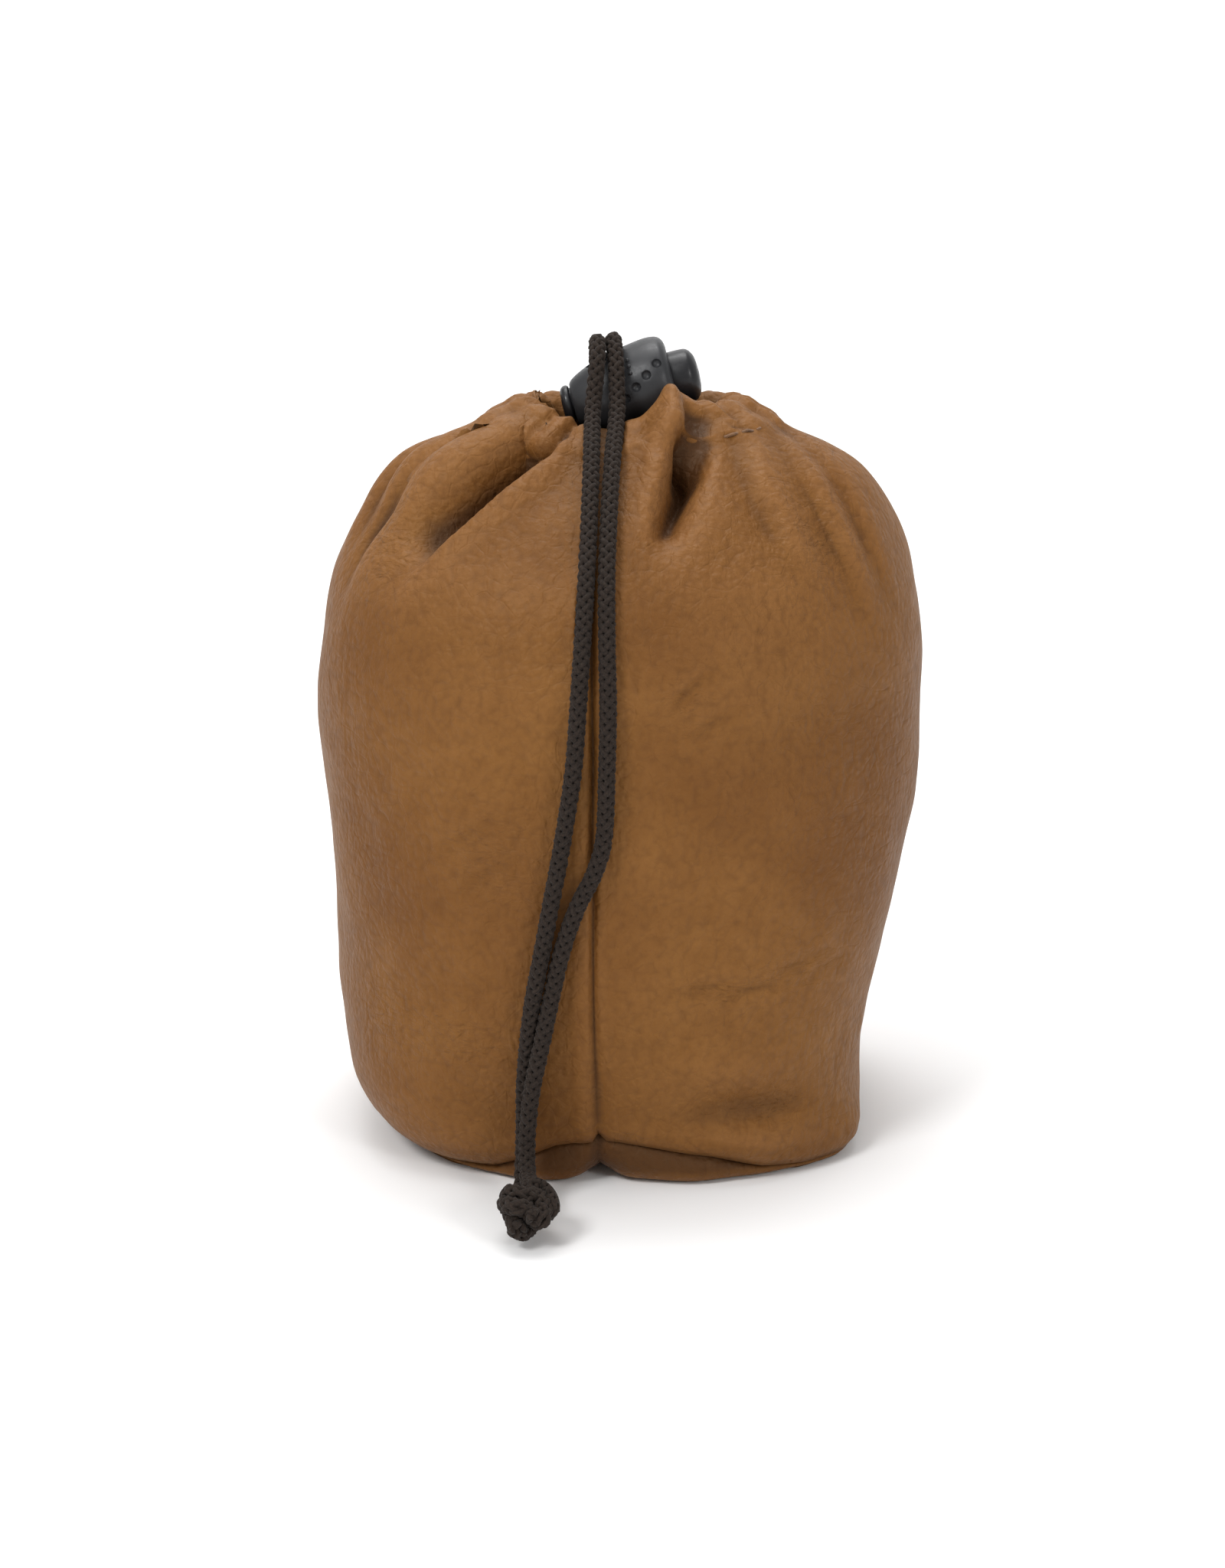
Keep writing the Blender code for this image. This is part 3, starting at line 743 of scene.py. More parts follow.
def dimples():
    """Round grip hollows in a row along the front of the barrel's wide half, cut by small balls."""
    bm = bmesh.new()
    for k in range(4):
        along = 1.7 + 2.3 * k
        angle = math.radians(89 - 11.5 * k)
        radius = barrel_radius(along) + 0.18
        at = Matrix.Translation((radius * math.cos(angle) * MM, radius * math.sin(angle) * MM, along * MM))
        bmesh.ops.create_uvsphere(bm, u_segments=20, v_segments=12, radius=0.92 * MM, matrix=at)
    return temporary_object("dimple_cutter", bm)


def nubs():
    """Three tiny raised dots above the dimples, next to the cords."""
    bm = bmesh.new()
    for k in range(3):
        along = 3.6
        angle = math.radians(38 + 10 * k)
        radius = barrel_radius(along) + 0.02
        at = Matrix.Translation((radius * math.cos(angle) * MM, radius * math.sin(angle) * MM, along * MM))
        bmesh.ops.create_uvsphere(bm, u_segments=12, v_segments=8, radius=0.38 * MM, matrix=at)
    return temporary_object("nubs", bm)


def make_lock():
    reach = CORD_PITCH / 2 + CORD_R + 0.3
    outside = rounded(BARREL_OUTSIDE, 4)
    lip = BARREL_OUTSIDE[-1]
    inside = ((lip[0] + 0.05, RECESS_R + 0.55), (lip[0] - 0.15, RECESS_R + 0.15),
              (lip[0] - 0.5, RECESS_R), (RECESS_FLOOR, RECESS_R), (RECESS_FLOOR, BORE_R),
              (-7.55, BORE_R), (-7.8, BORE_R + 0.2))
    barrel = turned("lock_bell", (*outside, *inside), SHELL)
    cut_with(barrel, slot_cutter(-reach - 0.65, reach, HOLE_HALF_WIDTH, 14), dimples())
    soften(barrel, 0.16)
    join_into(barrel, nubs())
    barrel.data.set_sharp_from_angle(angle=math.radians(50))
    foot, top = BUTTON_FOOT, BUTTON_TOP
    stop = rounded(((-9.9, 0), (-9.9, 1.4), (-9.8, 2.6), (-9.45, 3.3), (-8.95, FLANGE_R),
                    (-8.4, FLANGE_R)), 3)
    head = rounded(((foot + 0.1, BUTTON_R - 0.2), (foot + 0.5, BUTTON_R), (top - 2.6, BUTTON_R),
                    (top - 1.5, 4.7), (top - 0.7, 3.9), (top - 0.2, 2.6), (top, 0)), 4)
    stem = ((-8.1, FLANGE_R - 0.3), (-8.1, STEM_R), (foot, STEM_R))
    plunger = turned("lock_button", (*stop, *stem, *head), BLACK)
    cut_with(plunger, slot_cutter(-reach, reach + PLUNGER_TRAVEL + 0.2, HOLE_HALF_WIDTH, 6))
    soften(plunger, 0.12)
    low, high = RECESS_FLOOR + 0.3 + WIRE_R, foot - 0.3 - WIRE_R
    coil = []
    for t in np.linspace(0, 1, 140):
        turn = math.tau * COIL_TURNS * t
        coil.append(Vector((COIL_R * math.cos(turn), COIL_R * math.sin(turn), low + (high - low) * t)))
    spring = curve_mesh("lock_coil", [coil], WIRE_R, STEEL, sides=3)
    for piece, body, node_name, slot_name in (
            (barrel, "cord_lock", "lock_barrel", "lock_shell"),
            (plunger, "plunger", "lock_plunger", "lock_plunger"),
            (spring, "cord_lock", "lock_spring", "spring")):
        piece.data.transform(LOCK_FRAME)
        if piece is spring:
            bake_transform(piece)
        else:
            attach(piece, body)
        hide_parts(node_name)
    print("lock triangles about", sum(len(p.data.polygons) * 2 for p in (barrel, plunger, spring)))


make_lock()

# %% [markdown]
# ## The leather
# The bag is one wrapped panel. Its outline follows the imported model: a soft, nearly square foot, a full
# belly and shoulders that close to a small mouth, where the top edge is folded over the cord. That outline
# is laid out as a dense grid whose first column is the upright seam, with more columns near it. Folds are
# then worked into the grid one by one, the way a hand would press them: each has a path, a depth and a
# width.

# %% Outline of the leather
WALL_ROWS = (                      # height, left, right, front, back, squareness
    (8, -49.5, 45.8, -48.5, 48.5, 3.1), (20, -51.8, 45.8, -49.5, 49.5, 2.8),
    (36, -53.2, 50.0, -50, 50, 2.5), (52, -54.3, 53.4, -50, 50, 2.3), (68, -55.5, 56, -49.5, 50, 2.15),
    (83, -56.25, 56.25, -48.5, 49.5, 2.1), (94, -55, 56, -46.5, 48, 2.1),
    (105, -52.8, 54, -43, 45.5, 2.05), (114, -48.6, 50.8, -38, 41, 2.0), (122, -43.4, 45.6, -32, 35, 2.0),
    (127, -37.4, 38.8, -27, 28.5, 2.0), (130.5, -26.8, 31, -22.5, 21, 2.0),
)
CASING_SECTION = (                 # out from and above the cord's centre
    (6.8, 0.45), (3.1, 2.2), (1.3, 3.5), (-1.0, 3.7), (-2.7, 2.4), (-3.5, 0.3),
    (-3.1, -1.9), (-1.5, -4.1), (1.8, -4.6), (5.2, -3.9),
)
COLUMNS = 320
ROW_STEP = 1.15                    # mm between rows
SEAM_CROWDING = 0.35               # column spacing at the seam, against the average
LEATHER_THICKNESS = 1.3
DEPTH_OVER_CORD = 1.7              # the deepest that a fold may press the casing in, in mm


def seam_x(height):
    """The upright seam wanders a little: its distance from the middle, in mm."""
    return np.interp(height, (0, 9, 37, 77, 115, 131), (-3.7, -3.9, -4.6, -4.6, -4.9, -5.0))


def smooth_rows(rows, step):
    """Rows of ring values, evened out along the profile by a Catmull-Rom curve through each value."""
    rows = np.array(rows, dtype=float)
    padded = np.vstack([2 * rows[0] - rows[1], rows, 2 * rows[-1] - rows[-2]])
    dense = []
    for a, b, c, d in zip(padded, padded[1:], padded[2:], padded[3:]):
        for t in np.linspace(0, 1, 24, endpoint=False):
            dense.append(0.5 * (2 * b + (c - a) * t + (2 * a - 5 * b + 4 * c - d) * t ** 2
                                + (3 * b - a - 3 * c + d) * t ** 3))
    dense.append(rows[-1])
    dense = np.array(dense)
    move = np.hypot(np.diff(dense[:, 3]), np.diff(dense[:, 0]))
    run = np.concatenate([[0], np.cumsum(move)])
    at = np.linspace(0, run[-1], int(run[-1] / step))
    return np.stack([np.interp(at, run, dense[:, k]) for k in range(dense.shape[1])], axis=1)


def ring_rows():
    """Rings from foot to edge: height, centre x and y, half width, half depth, squareness, dip."""
    rows = []
    for z, left, right, front, back, square in WALL_ROWS:
        dip = np.clip((z - 95) / 36, 0, 1)
        rows.append((z, (left + right) / 2, (front + back) / 2, (right - left) / 2, (back - front) / 2,
                     square, dip * dip * (3 - 2 * dip)))
    for out, up in CASING_SECTION:
        rows.append((MOUTH.z + up, MOUTH.x, MOUTH.y, RING_RX + out, RING_RY + out, 2.0, 1.0))
    return smooth_rows(rows, ROW_STEP)


def wrapped_grid(rows):
    """Points (row, column, xyz) in mm of the wrapped panel; column 0 lies on the upright seam."""
    t = np.arange(COLUMNS) / COLUMNS
    turn = math.tau * (t - (1 - SEAM_CROWDING) * np.sin(math.tau * t) / math.tau)
    height, cx, cy, rx, ry, square, dip = (rows[:, k][:, None] for k in range(7))
    offset = np.clip(np.abs(seam_x(height) - cx) / rx, 0, 0.9) ** (square / 2)
    at_seam = -math.pi / 2 - np.arcsin(offset)
    away = np.minimum(turn, math.tau - turn)[None, :]
    hold = np.cos(np.clip(away / 2.4, 0, math.pi / 2)) ** 2
    reference = math.radians(-94)
    angle = reference + turn[None, :] + (at_seam - reference) * hold
    cosine, sine = np.cos(angle), np.sin(angle)
    x = cx + rx * np.sign(cosine) * np.abs(cosine) ** (2 / square)
    y = cy + ry * np.sign(sine) * np.abs(sine) ** (2 / square)
    z = height - FRONT_DROP * front_dip(angle) * dip
    return np.stack([x, y, np.broadcast_to(z, x.shape)], axis=2), angle


def grid_normals(points):
    around = np.roll(points, -1, axis=1) - np.roll(points, 1, axis=1)
    up = np.gradient(points, axis=0)
    normal = np.cross(around, up)
    return normal / np.maximum(np.linalg.norm(normal, axis=2, keepdims=True), 1e-9)


def blurred(values, rounds):
    """Values on the grid, smoothed with their neighbours; columns wrap round."""
    for _ in range(rounds):
        side = (np.roll(values, 1, axis=1) + np.roll(values, -1, axis=1)) / 2
        below = np.concatenate([values[:1], values[:-1]])
        above = np.concatenate([values[1:], values[-1:]])
        values = 0.4 * values + 0.3 * side + 0.15 * (below + above)
    return values


# %% [markdown]
# A fold is pressed in with one call. The side towards which it leans is rounder, and the other side stands
# up as a crisp ridge that hangs a little over the hollow.

# %% Pressing folds into the grid
FULL_DEPTH = 10.5                  # a fold this deep counts as wholly inside, in mm


def near_path(points, path):
    """For every point: distance to the path, share along it (0 to 1), nearest point, path direction."""
    path = np.asarray([tuple(p) for p in path], dtype=float)
    flat = points.reshape(-1, 3)
    best = np.full(len(flat), 1e9)
    along = np.zeros(len(flat))
    nearest = np.zeros_like(flat)
    direction = np.zeros_like(flat)
    spans = len(path) - 1
    for k in range(spans):
        start, span = path[k], path[k + 1] - path[k]
        t = np.clip((flat - start) @ span / (span @ span), 0, 1)
        foot = start + t[:, None] * span
        distance = np.linalg.norm(flat - foot, axis=1)
        closer = distance < best
        best[closer] = distance[closer]
        along[closer] = (k + t[closer]) / spans
        nearest[closer] = foot[closer]
        direction[closer] = span / np.linalg.norm(span)
    shape, full = points.shape[:2], points.shape
    return best.reshape(shape), along.reshape(shape), nearest.reshape(full), direction.reshape(full)


def press_fold(points, path, depths, widths, ridge, overhang=0.0, crisp=2.0, hold=1.0, most=20.0):
    """The grid pressed in along a path, and how deep in the fold each point lies, 0 to 1.

    depths are spread along the path, and widths are (below it, above it) for a path that runs from the mouth
    down to the left. crisp sets how steep the fold's sides are, and hold scales its depth row by row.
    ridge raises the skin beside the hollow on its narrower side, and overhang leans that ridge over it.
    most is as far in as the skin may go, where the cord in the casing lies behind it.
    """
    smooth = spline_points(path, 6)
    distance, along, nearest, direction = near_path(points, smooth)
    normal = grid_normals(points)
    across = np.cross(direction, normal)
    across /= np.maximum(np.linalg.norm(across, axis=2, keepdims=True), 1e-9)
    side = np.sum((points - nearest) * across, axis=2)
    beyond = np.sqrt(np.maximum(distance ** 2 - side ** 2, 0))
    width = np.where(side > 0, widths[1], widths[0])
    depth = np.interp(along, np.linspace(0, 1, len(depths)), depths) * hold
    shape = np.exp(-(np.abs(side) / width) ** crisp) * np.exp(-(beyond / (0.6 * max(widths))) ** 2)
    points = points - normal * np.minimum(depth * shape, most)[:, :, None]
    share = depth / max(max(depths), 1e-6)
    way = 1 if widths[1] <= widths[0] else -1
    narrow = min(widths)
    crest = np.exp(-((way * side - 1.25 * narrow) / (0.75 * narrow)) ** 2)
    crest *= np.exp(-(beyond / (0.6 * max(widths))) ** 2) * share
    lean = across * (way * overhang * crest)[:, :, None]
    points = points + normal * (ridge * crest)[:, :, None] - lean
    return points, np.clip(depth / FULL_DEPTH, 0, 1) * shape


def press_dent(points, centre, reach, depth):
    """A soft round dent; reach is its half size along x, y and z, and a negative depth is a bulge."""
    offset = (points - np.array(centre, dtype=float)) / np.array(reach, dtype=float)
    shape = np.exp(-np.sum(offset ** 2, axis=2))
    return points - grid_normals(points) * (depth * shape)[:, :, None]


def ripple(points, scale, seed):
    """Smooth random unevenness, about -1 to 1, of the given size in mm."""
    shift = Vector((seed * 17.3, seed * 5.1, -seed * 9.7))
    flat = points.reshape(-1, 3)
    values = [noise.noise(Vector(p) / scale + shift) for p in flat]
    return np.array(values).reshape(points.shape[:2])


# Folds that run out from the mouth at the front: path, depths, widths, ridge, overhang and crispness.
FRONT_FOLDS = (
    ("big left pleat",
     ((-9.5, -15.0, 131.4), (-12.0, -19.4, 128.4), (-15.4, -22.6, 125.9), (-20.4, -25.6, 122.6),
      (-26.3, -27.6, 118.0), (-31.6, -27.8, 113.2), (-35.8, -27.6, 108.6)),
     (6.0, 9.5, 11.0, 10.6, 8.6, 5.6, 1.2), (2.6, 7.6), 2.6, 2.4, 2.6),
    ("finger fold beside the cord",
     ((-7.9, -17.0, 130.2), (-8.6, -19.0, 128.4), (-9.2, -21.0, 126.4)),
     (0.8, 1.6, 0.4), (1.3, 1.5), 0.3, 0.0, 1.8),
    ("deep right valley",
     ((11.6, -15.5, 131.8), (11.4, -19.5, 129.6), (10.8, -24.9, 126.1), (9.4, -30.0, 121.9),
      (8.0, -35.0, 117.1), (7.6, -37.8, 113.5)), (6.0, 9.0, 10.2, 8.0, 4.8, 0.8), (3.5, 3.0), 2.4, 1.2, 2.2),
    ("right fold",
     ((19.5, -17.5, 129.6), (21.8, -25.6, 122.7), (25.5, -30.5, 115.5), (30.5, -34.5, 106.0)),
     (1.2, 2.2, 1.9, 0.3), (3.6, 7.0), 0.5, 0.2, 1.8),
    ("outer right fold",
     ((28.0, -15.0, 127.0), (33.0, -22.0, 120.0), (38.0, -26.0, 111.0), (42.0, -28.0, 100.0)),
     (0.9, 1.8, 2.0, 0.4), (3.0, 6.5), 0.5, 0.2, 1.7),
    ("right side fold",
     ((30.0, -9.0, 128.5), (38.0, -16.0, 120.5), (44.5, -21.0, 110.5), (49.0, -22.0, 100.0)),
     (0.9, 1.5, 1.2, 0.2), (2.8, 4.6), 0.3, 0.1, 1.5),
    ("left shoulder crease",
     ((-33.0, -9.0, 126.5), (-39.0, -11.5, 121.0), (-45.6, -14.6, 111.1), (-50.8, -18.4, 98.7)),
     (0.5, 1.5, 1.6, 0.3), (2.2, 4.4), 0.4, 0.1, 1.4),
)
# Soft dents, and bulges where the depth is negative: centre, half size, depth.
DENTS = (
    ((13, -48.2, 13.2), (8.5, 9, 2.8), 0.8), ((21, -47, 14.6), (8, 9, 3.8), 1.4),
    ((29, -43.5, 13.6), (6.5, 8, 3.6), 1.5), ((22, -47.0, 8.2), (15, 9, 2.8), -0.9),
    ((20, -48.0, 22.5), (14, 9, 4.8), -0.8), ((41, -31, 4.5), (8, 9, 5.0), -2.0),
    ((-24, -44, 14), (9, 9, 6), 0.8), ((-34, -12, 123), (10, 13, 8), -1.6),
    ((-24, -12, 128.5), (9, 8, 5), -2.2), ((-38, -20, 100), (9, 12, 12), -0.8),
    ((-17, -46, 96), (12, 10, 16), -0.9), ((20, -44, 97), (12, 10, 16), -0.8),
)
# Short wrinkles where the leather has buckled: ends of the wrinkle, depth, width.
WRINKLES = (
    ((9.0, -49.6, 36.2), (20.5, -47.6, 37.6), 0.45, 0.9),
    ((17.0, -48.4, 35.0), (30.0, -43.9, 37.2), 0.55, 0.8),
    ((27.0, -45.0, 38.6), (38.0, -38.4, 41.5), 0.50, 0.9),
    ((31.0, -43.0, 36.2), (41.0, -35.6, 39.4), 0.35, 0.8),
    ((-47.0, -28.5, 27.5), (-38.0, -39.0, 23.0), 0.50, 1.0),
    ((-44.0, -32.5, 31.5), (-31.5, -43.4, 28.2), 0.55, 0.9),
    ((-37.0, -39.5, 33.5), (-24.5, -46.5, 30.5), 0.50, 0.9),
    ((-34.0, -41.5, 26.0), (-22.0, -47.2, 27.0), 0.45, 0.9),
    ((-41.0, -36.0, 37.0), (-33.0, -42.0, 34.5), 0.40, 0.8),
    ((-30.0, -44.0, 22.5), (-21.0, -47.5, 24.5), 0.40, 0.8),
    ((-28.0, -45.5, 54.0), (-16.0, -49.5, 61.0), 0.30, 1.2),
    ((-32.0, -43.5, 60.0), (-18.0, -49.0, 69.0), 0.32, 1.2),
    ((-27.0, -46.0, 70.0), (-13.0, -49.6, 79.0), 0.30, 1.3),
    ((-36.0, -41.0, 70.0), (-25.0, -46.5, 78.0), 0.28, 1.2),
    ((8.0, -48.6, 86.0), (16.0, -45.2, 93.0), 0.40, 0.9),
    ((12.0, -47.6, 82.0), (21.0, -45.0, 86.0), 0.28, 1.0),
    ((16.5, -14.0, 133.4), (21.0, -14.8, 132.4), 0.7, 0.8),
    ((18.5, -15.6, 131.4), (24.0, -13.8, 130.8), 0.6, 0.8),
)
# Gathers on the sides and back: direction in degrees, drift, depth, width and the height where it ends.
GATHERS = (
    (-2, 3, 2.4, 3.4, 106), (17, -3, 3.2, 3.0, 98), (37, 4, 2.6, 3.6, 104), (56, -4, 3.8, 3.2, 94),
    (76, 2, 2.7, 3.0, 108), (95, -5, 3.6, 3.8, 96), (115, 4, 2.8, 3.2, 103), (134, -2, 3.9, 3.4, 92),
    (154, 5, 2.6, 3.1, 106), (173, -4, 3.4, 3.6, 97), (191, 3, 2.4, 3.0, 108), (207, -2, 2.6, 3.0, 104),
)


def wrinkle(points):
    for start, end, depth, width in WRINKLES:
        bend = (Vector(start) + Vector(end)) / 2 + Vector((0.0, 0.0, 0.9))
        depths = (0.1, 1.5 * depth, 1.5 * depth, 0.1)
        points, _ = press_fold(points, (start, bend, end), depths, (width, 1.6 * width), 0.6 * depth)
    return points


def press_gathers(points, angle, rows, outside):
    for degrees, drift, depth, width, foot in GATHERS:
        path = []
        start = np.searchsorted(rows[:, 0], foot)
        last = int(np.argmax(rows[:, 0] > 130.3))
        steps = np.linspace(last, start, 6).astype(int)
        for k, row in enumerate(steps):
            target = math.radians(degrees + drift * (k / 5) ** 2 * 2)
            gap = np.abs((angle[row] - target + math.pi) % math.tau - math.pi)
            path.append(points[row, int(np.argmin(gap))])
        depths = (0.55 * depth, depth, depth, 0.75 * depth, 0.4 * depth, 0.05 * depth)
        points, _ = press_fold(points, path, depths, (width * 1.25, width), 0.5, 0.4, 1.5, outside)
    return points


def crimp_casing(points, angle, rows):
    """The folded edge puckers where the cord pulls it together: finer ruffles than the folds below."""
    edge = (np.arange(len(rows)) - int(np.argmax(rows[:, 0] > 129.5)))[:, None]
    hold = np.clip(edge / 6.0, 0, 1)
    wave = np.sin(19 * angle + 1.1 * np.sin(3 * angle + 0.4)) * 0.42 + np.sin(31 * angle + 1.7) * 0.2
    quiet = 1 - 0.75 * np.exp(-((angle + math.pi / 2 + 0.35) / 0.6) ** 2)
    return points + grid_normals(points) * (wave * hold * quiet)[:, :, None]


def base_seam_height(x, y):
    """Height of the seam between wall and base: it rises to the front seam and dips at the corners."""
    front = np.interp(x, (-60, -34, -24, -17, -11.5, -3.7, 5.5, 16.4, 26.4, 34, 60),
                      (1.8, 1.4, 2.4, 5.0, 7.5, 9.0, 7.7, 5.9, 2.7, 1.8, 1.8))
    rest = 3.2 + 0.9 * np.sin(x / 13.0)
    share = np.clip((-y - 18) / 22, 0, 1)
    return rest + (front - rest) * share


def foot_inset(height, x, y):
    """How far the wall rolls in near the floor, in mm: much at the left corner, little at the right one."""
    left = np.clip((-x - 12) / 34, 0, 1)
    right = np.clip((x - 20) / 16, 0, 1) * np.clip(-y / 16, 0, 1)
    size = 5.0 + 8.5 * left - 4.4 * right
    reach = 8.5 + 8.0 * left - 5.5 * right
    t = np.clip(1 - height / reach, 0, 1)
    return size * (1 - np.sqrt(np.maximum(1 - t * t, 0)))


def set_down(points, rows):
    """Brings the wall's foot down to the base seam and rolls it in towards the floor."""
    low = points[:, :, 2]
    x, y = points[:, :, 0], points[:, :, 1]
    foot = base_seam_height(points[0, :, 0], points[0, :, 1])[None, :]
    span = 26.0
    t = np.clip((span - low) / (span - 8.0), 0, 1)
    lowered = np.where(low < span, span - (span - foot) * t, low)
    middle = np.array([-1.5, 0.0])
    reach = np.stack([x - middle[0], y - middle[1]], axis=2)
    size = np.linalg.norm(reach, axis=2, keepdims=True)
    inset = foot_inset(lowered, x, y)[:, :, None]
    moved = reach / np.maximum(size, 1e-6) * (size - inset)
    tuck = np.exp(-((np.arange(len(rows))) / 1.1))[:, None, None] * 1.5
    moved -= reach / np.maximum(size, 1e-6) * tuck
    return np.stack([moved[:, :, 0] + middle[0], moved[:, :, 1] + middle[1], lowered], axis=2)


def raise_peak(points, rows):
    """One pleat of the folded edge stands up in front of the lock, to the right of the cords."""
    edge = np.clip((np.arange(len(rows)) - int(np.argmax(rows[:, 0] > 126)))[:, None] / 9.0, 0, 1)
    front = np.clip((-points[:, :, 1] - 4) / 6, 0, 1)
    peak = np.exp(-((points[:, :, 0] - 9.2) / 3.4) ** 2) * front * edge
    shoulder = np.exp(-((points[:, :, 0] - 3.5) / 4.5) ** 2) * front * edge
    lifted = points.copy()
    lifted[:, :, 2] += 4.4 * peak + 1.0 * shoulder
    return lifted


def sew_upright_seam(points, rows):
    """The seam is a narrow valley; the leather left of it stands a little proud over its allowance."""
    along = np.linalg.norm(np.diff(points, axis=1, append=points[:, :1]), axis=2)
    right = np.concatenate([np.zeros((len(points), 1)), np.cumsum(along[:, :-1], axis=1)], axis=1)
    girth = along.sum(axis=1, keepdims=True)
    side = np.where(right > girth / 2, right - girth, right)
    hold = np.clip((122 - rows[:, 0]) / 14, 0.25, 1)[:, None]
    valley = -1.15 * np.exp(-(np.abs(side) / 0.5) ** 1.6)
    band = 0.50 / (1 + np.exp(-(side + 3.6) / 0.45)) * (side < 0) * (1 - np.exp(-(side / 0.5) ** 2))
    right_lip = 0.22 * np.exp(-((side - 1.2) / 1.1) ** 2)
    return points + grid_normals(points) * ((valley + band + right_lip) * hold)[:, :, None]


def keep_off(points, line, clearance):
    """Pushes the grid away from a line of points in mm until it is clearance away."""
    reach = 6.0
    line = np.asarray([tuple(p) for p in line])
    low, high = line.min(axis=0) - reach, line.max(axis=0) + reach
    flat = points.reshape(-1, 3).copy()
    close = np.all((flat > low) & (flat < high), axis=1)
    chosen = flat[close]
    gap = np.linalg.norm(chosen[:, None, :] - line[None, :, :], axis=2)
    nearest = gap.argmin(axis=1)
    distance = gap[np.arange(len(chosen)), nearest]
    away = (chosen - line[nearest]) / np.maximum(distance, 1e-6)[:, None]
    push = np.maximum(clearance - distance, 0)
    chosen += away * push[:, None]
    flat[close] = chosen
    return flat.reshape(points.shape)


LOCK_SPACE = (                     # along the lock's axis, radius
    (-15.8, 0.5), (-14.8, 3.4), (-13.2, 4.2), (-8.4, 4.2), *BARREL_OUTSIDE,
    (10.8, 4.9), (15.7, 4.9), (16.0, 0),
)
LOCK_MARGIN = 0.5


def keep_off_lock(points):
    """Pushes the grid out of the turned space that the lock needs, its pressed plunger included."""
    axis, foot = np.array(LOCK_AXIS), np.array(LOCK_AT)
    offset = points - foot
    along = offset @ axis
    radial = offset - along[:, :, None] * axis
    radius = np.linalg.norm(radial, axis=2)
    a, r = zip(*LOCK_SPACE)
    need = np.interp(along, a, r, left=0, right=0) + LOCK_MARGIN
    inside = (along > a[0]) & (along < a[-1])
    push = np.where(inside, np.maximum(need - radius, 0), 0)
    return points + radial / np.maximum(radius, 1e-6)[:, :, None] * push[:, :, None]


# %% Wall of the bag
CREASE_BLUR, FOLD_BLUR = 8, 60     # rounds of smoothing that a crease and a fold stand out against


def hollowness(points):
    """0 on ridges, 0.5 on flat skin, 1 in hollows: how far the skin lies behind its smoothed self."""
    normal = grid_normals(points)
    small = np.sum((blurred(points, CREASE_BLUR) - points) * normal, axis=2)
    large = np.sum((blurred(points, FOLD_BLUR) - points) * normal, axis=2)
    # The gain sets how strongly hollows are painted dark as shade and ridges rubbed light: strong on the
    # deep folds high up, weak on the dents near the foot.
    gain = np.interp(points[:, :, 2], (0, 60, 95, 118), (0.40, 0.60, 0.95, 1.40))
    value = 0.5 + gain * (0.55 * small + 0.22 * large)
    value[:3] = 0.5
    return np.clip(value, 0, 1)


# Patches where the hide has buckled into many fine creases: centre and half size in mm.
BUCKLED = (
    ((17, -48, 36.5), (9, 8, 3.2)), ((31, -43, 39.0), (9, 9, 3.4)), ((-38, -38, 29), (10, 9, 6.5)),
    ((-26, -45, 27), (7, 7, 5)), ((11, -46.5, 88), (6, 7, 7)), ((-24, -46, 60), (9, 8, 11)),
    ((27, -41, 13), (8, 8, 5)), ((-40, -24, 112), (8, 9, 12)), ((33, -26, 112), (9, 10, 11)),
)


def buckling(points):
    """0 to 1: how far the hide is creased here."""
    value = np.zeros(points.shape[:2])
    for centre, reach in BUCKLED:
        offset = (points - np.array(centre, dtype=float)) / np.array(reach, dtype=float)
        value += np.exp(-np.sum(offset ** 2, axis=2))
    return np.clip(value, 0, 1)


def grid_mesh(name, points, hollow_shade_and_rub, close_foot=False):
    """The grid as a mesh piece, in metres, with its hollowness and creasing stored for the material."""
    columns = points.shape[1]
    bm = bmesh.new()
    layer = bm.verts.layers.float.new("hollow_shade_and_rub")
    creased = bm.verts.layers.float.new("buckled")
    crease = buckling(points)
    verts = []
    for k in range(len(points)):
        ring = [bm.verts.new(Vector(p) * MM) for p in points[k]]
        for vert, value, share in zip(ring, hollow_shade_and_rub[k], crease[k]):
            vert[layer] = float(value)
            vert[creased] = float(share)
        verts.append(ring)
    for lower, upper in zip(verts, verts[1:]):
        for k in range(columns):
            j = (k + 1) % columns
            bm.faces.new((lower[k], lower[j], upper[j], upper[k]))
    if close_foot:
        centre = bm.verts.new(Vector(points[0].mean(axis=0)) * MM)
        centre[layer] = 0.5
        for k in range(columns):
            bm.faces.new((verts[0][(k + 1) % columns], verts[0][k], centre))
    mesh = bpy.data.meshes.new(name)
    bm.to_mesh(mesh)
    bm.free()
    mesh.materials.append(LEATHER)
    mesh.shade_smooth()
    piece = bpy.data.objects.new(name, mesh)
    scene.collection.objects.link(piece)
    return piece


def thicken(piece):
    wall = piece.modifiers.new("leather", "SOLIDIFY")
    wall.thickness = LEATHER_THICKNESS * MM
    wall.offset = -1
    wall.use_even_offset = False
    apply_modifiers(piece)
    piece.data.shade_smooth()


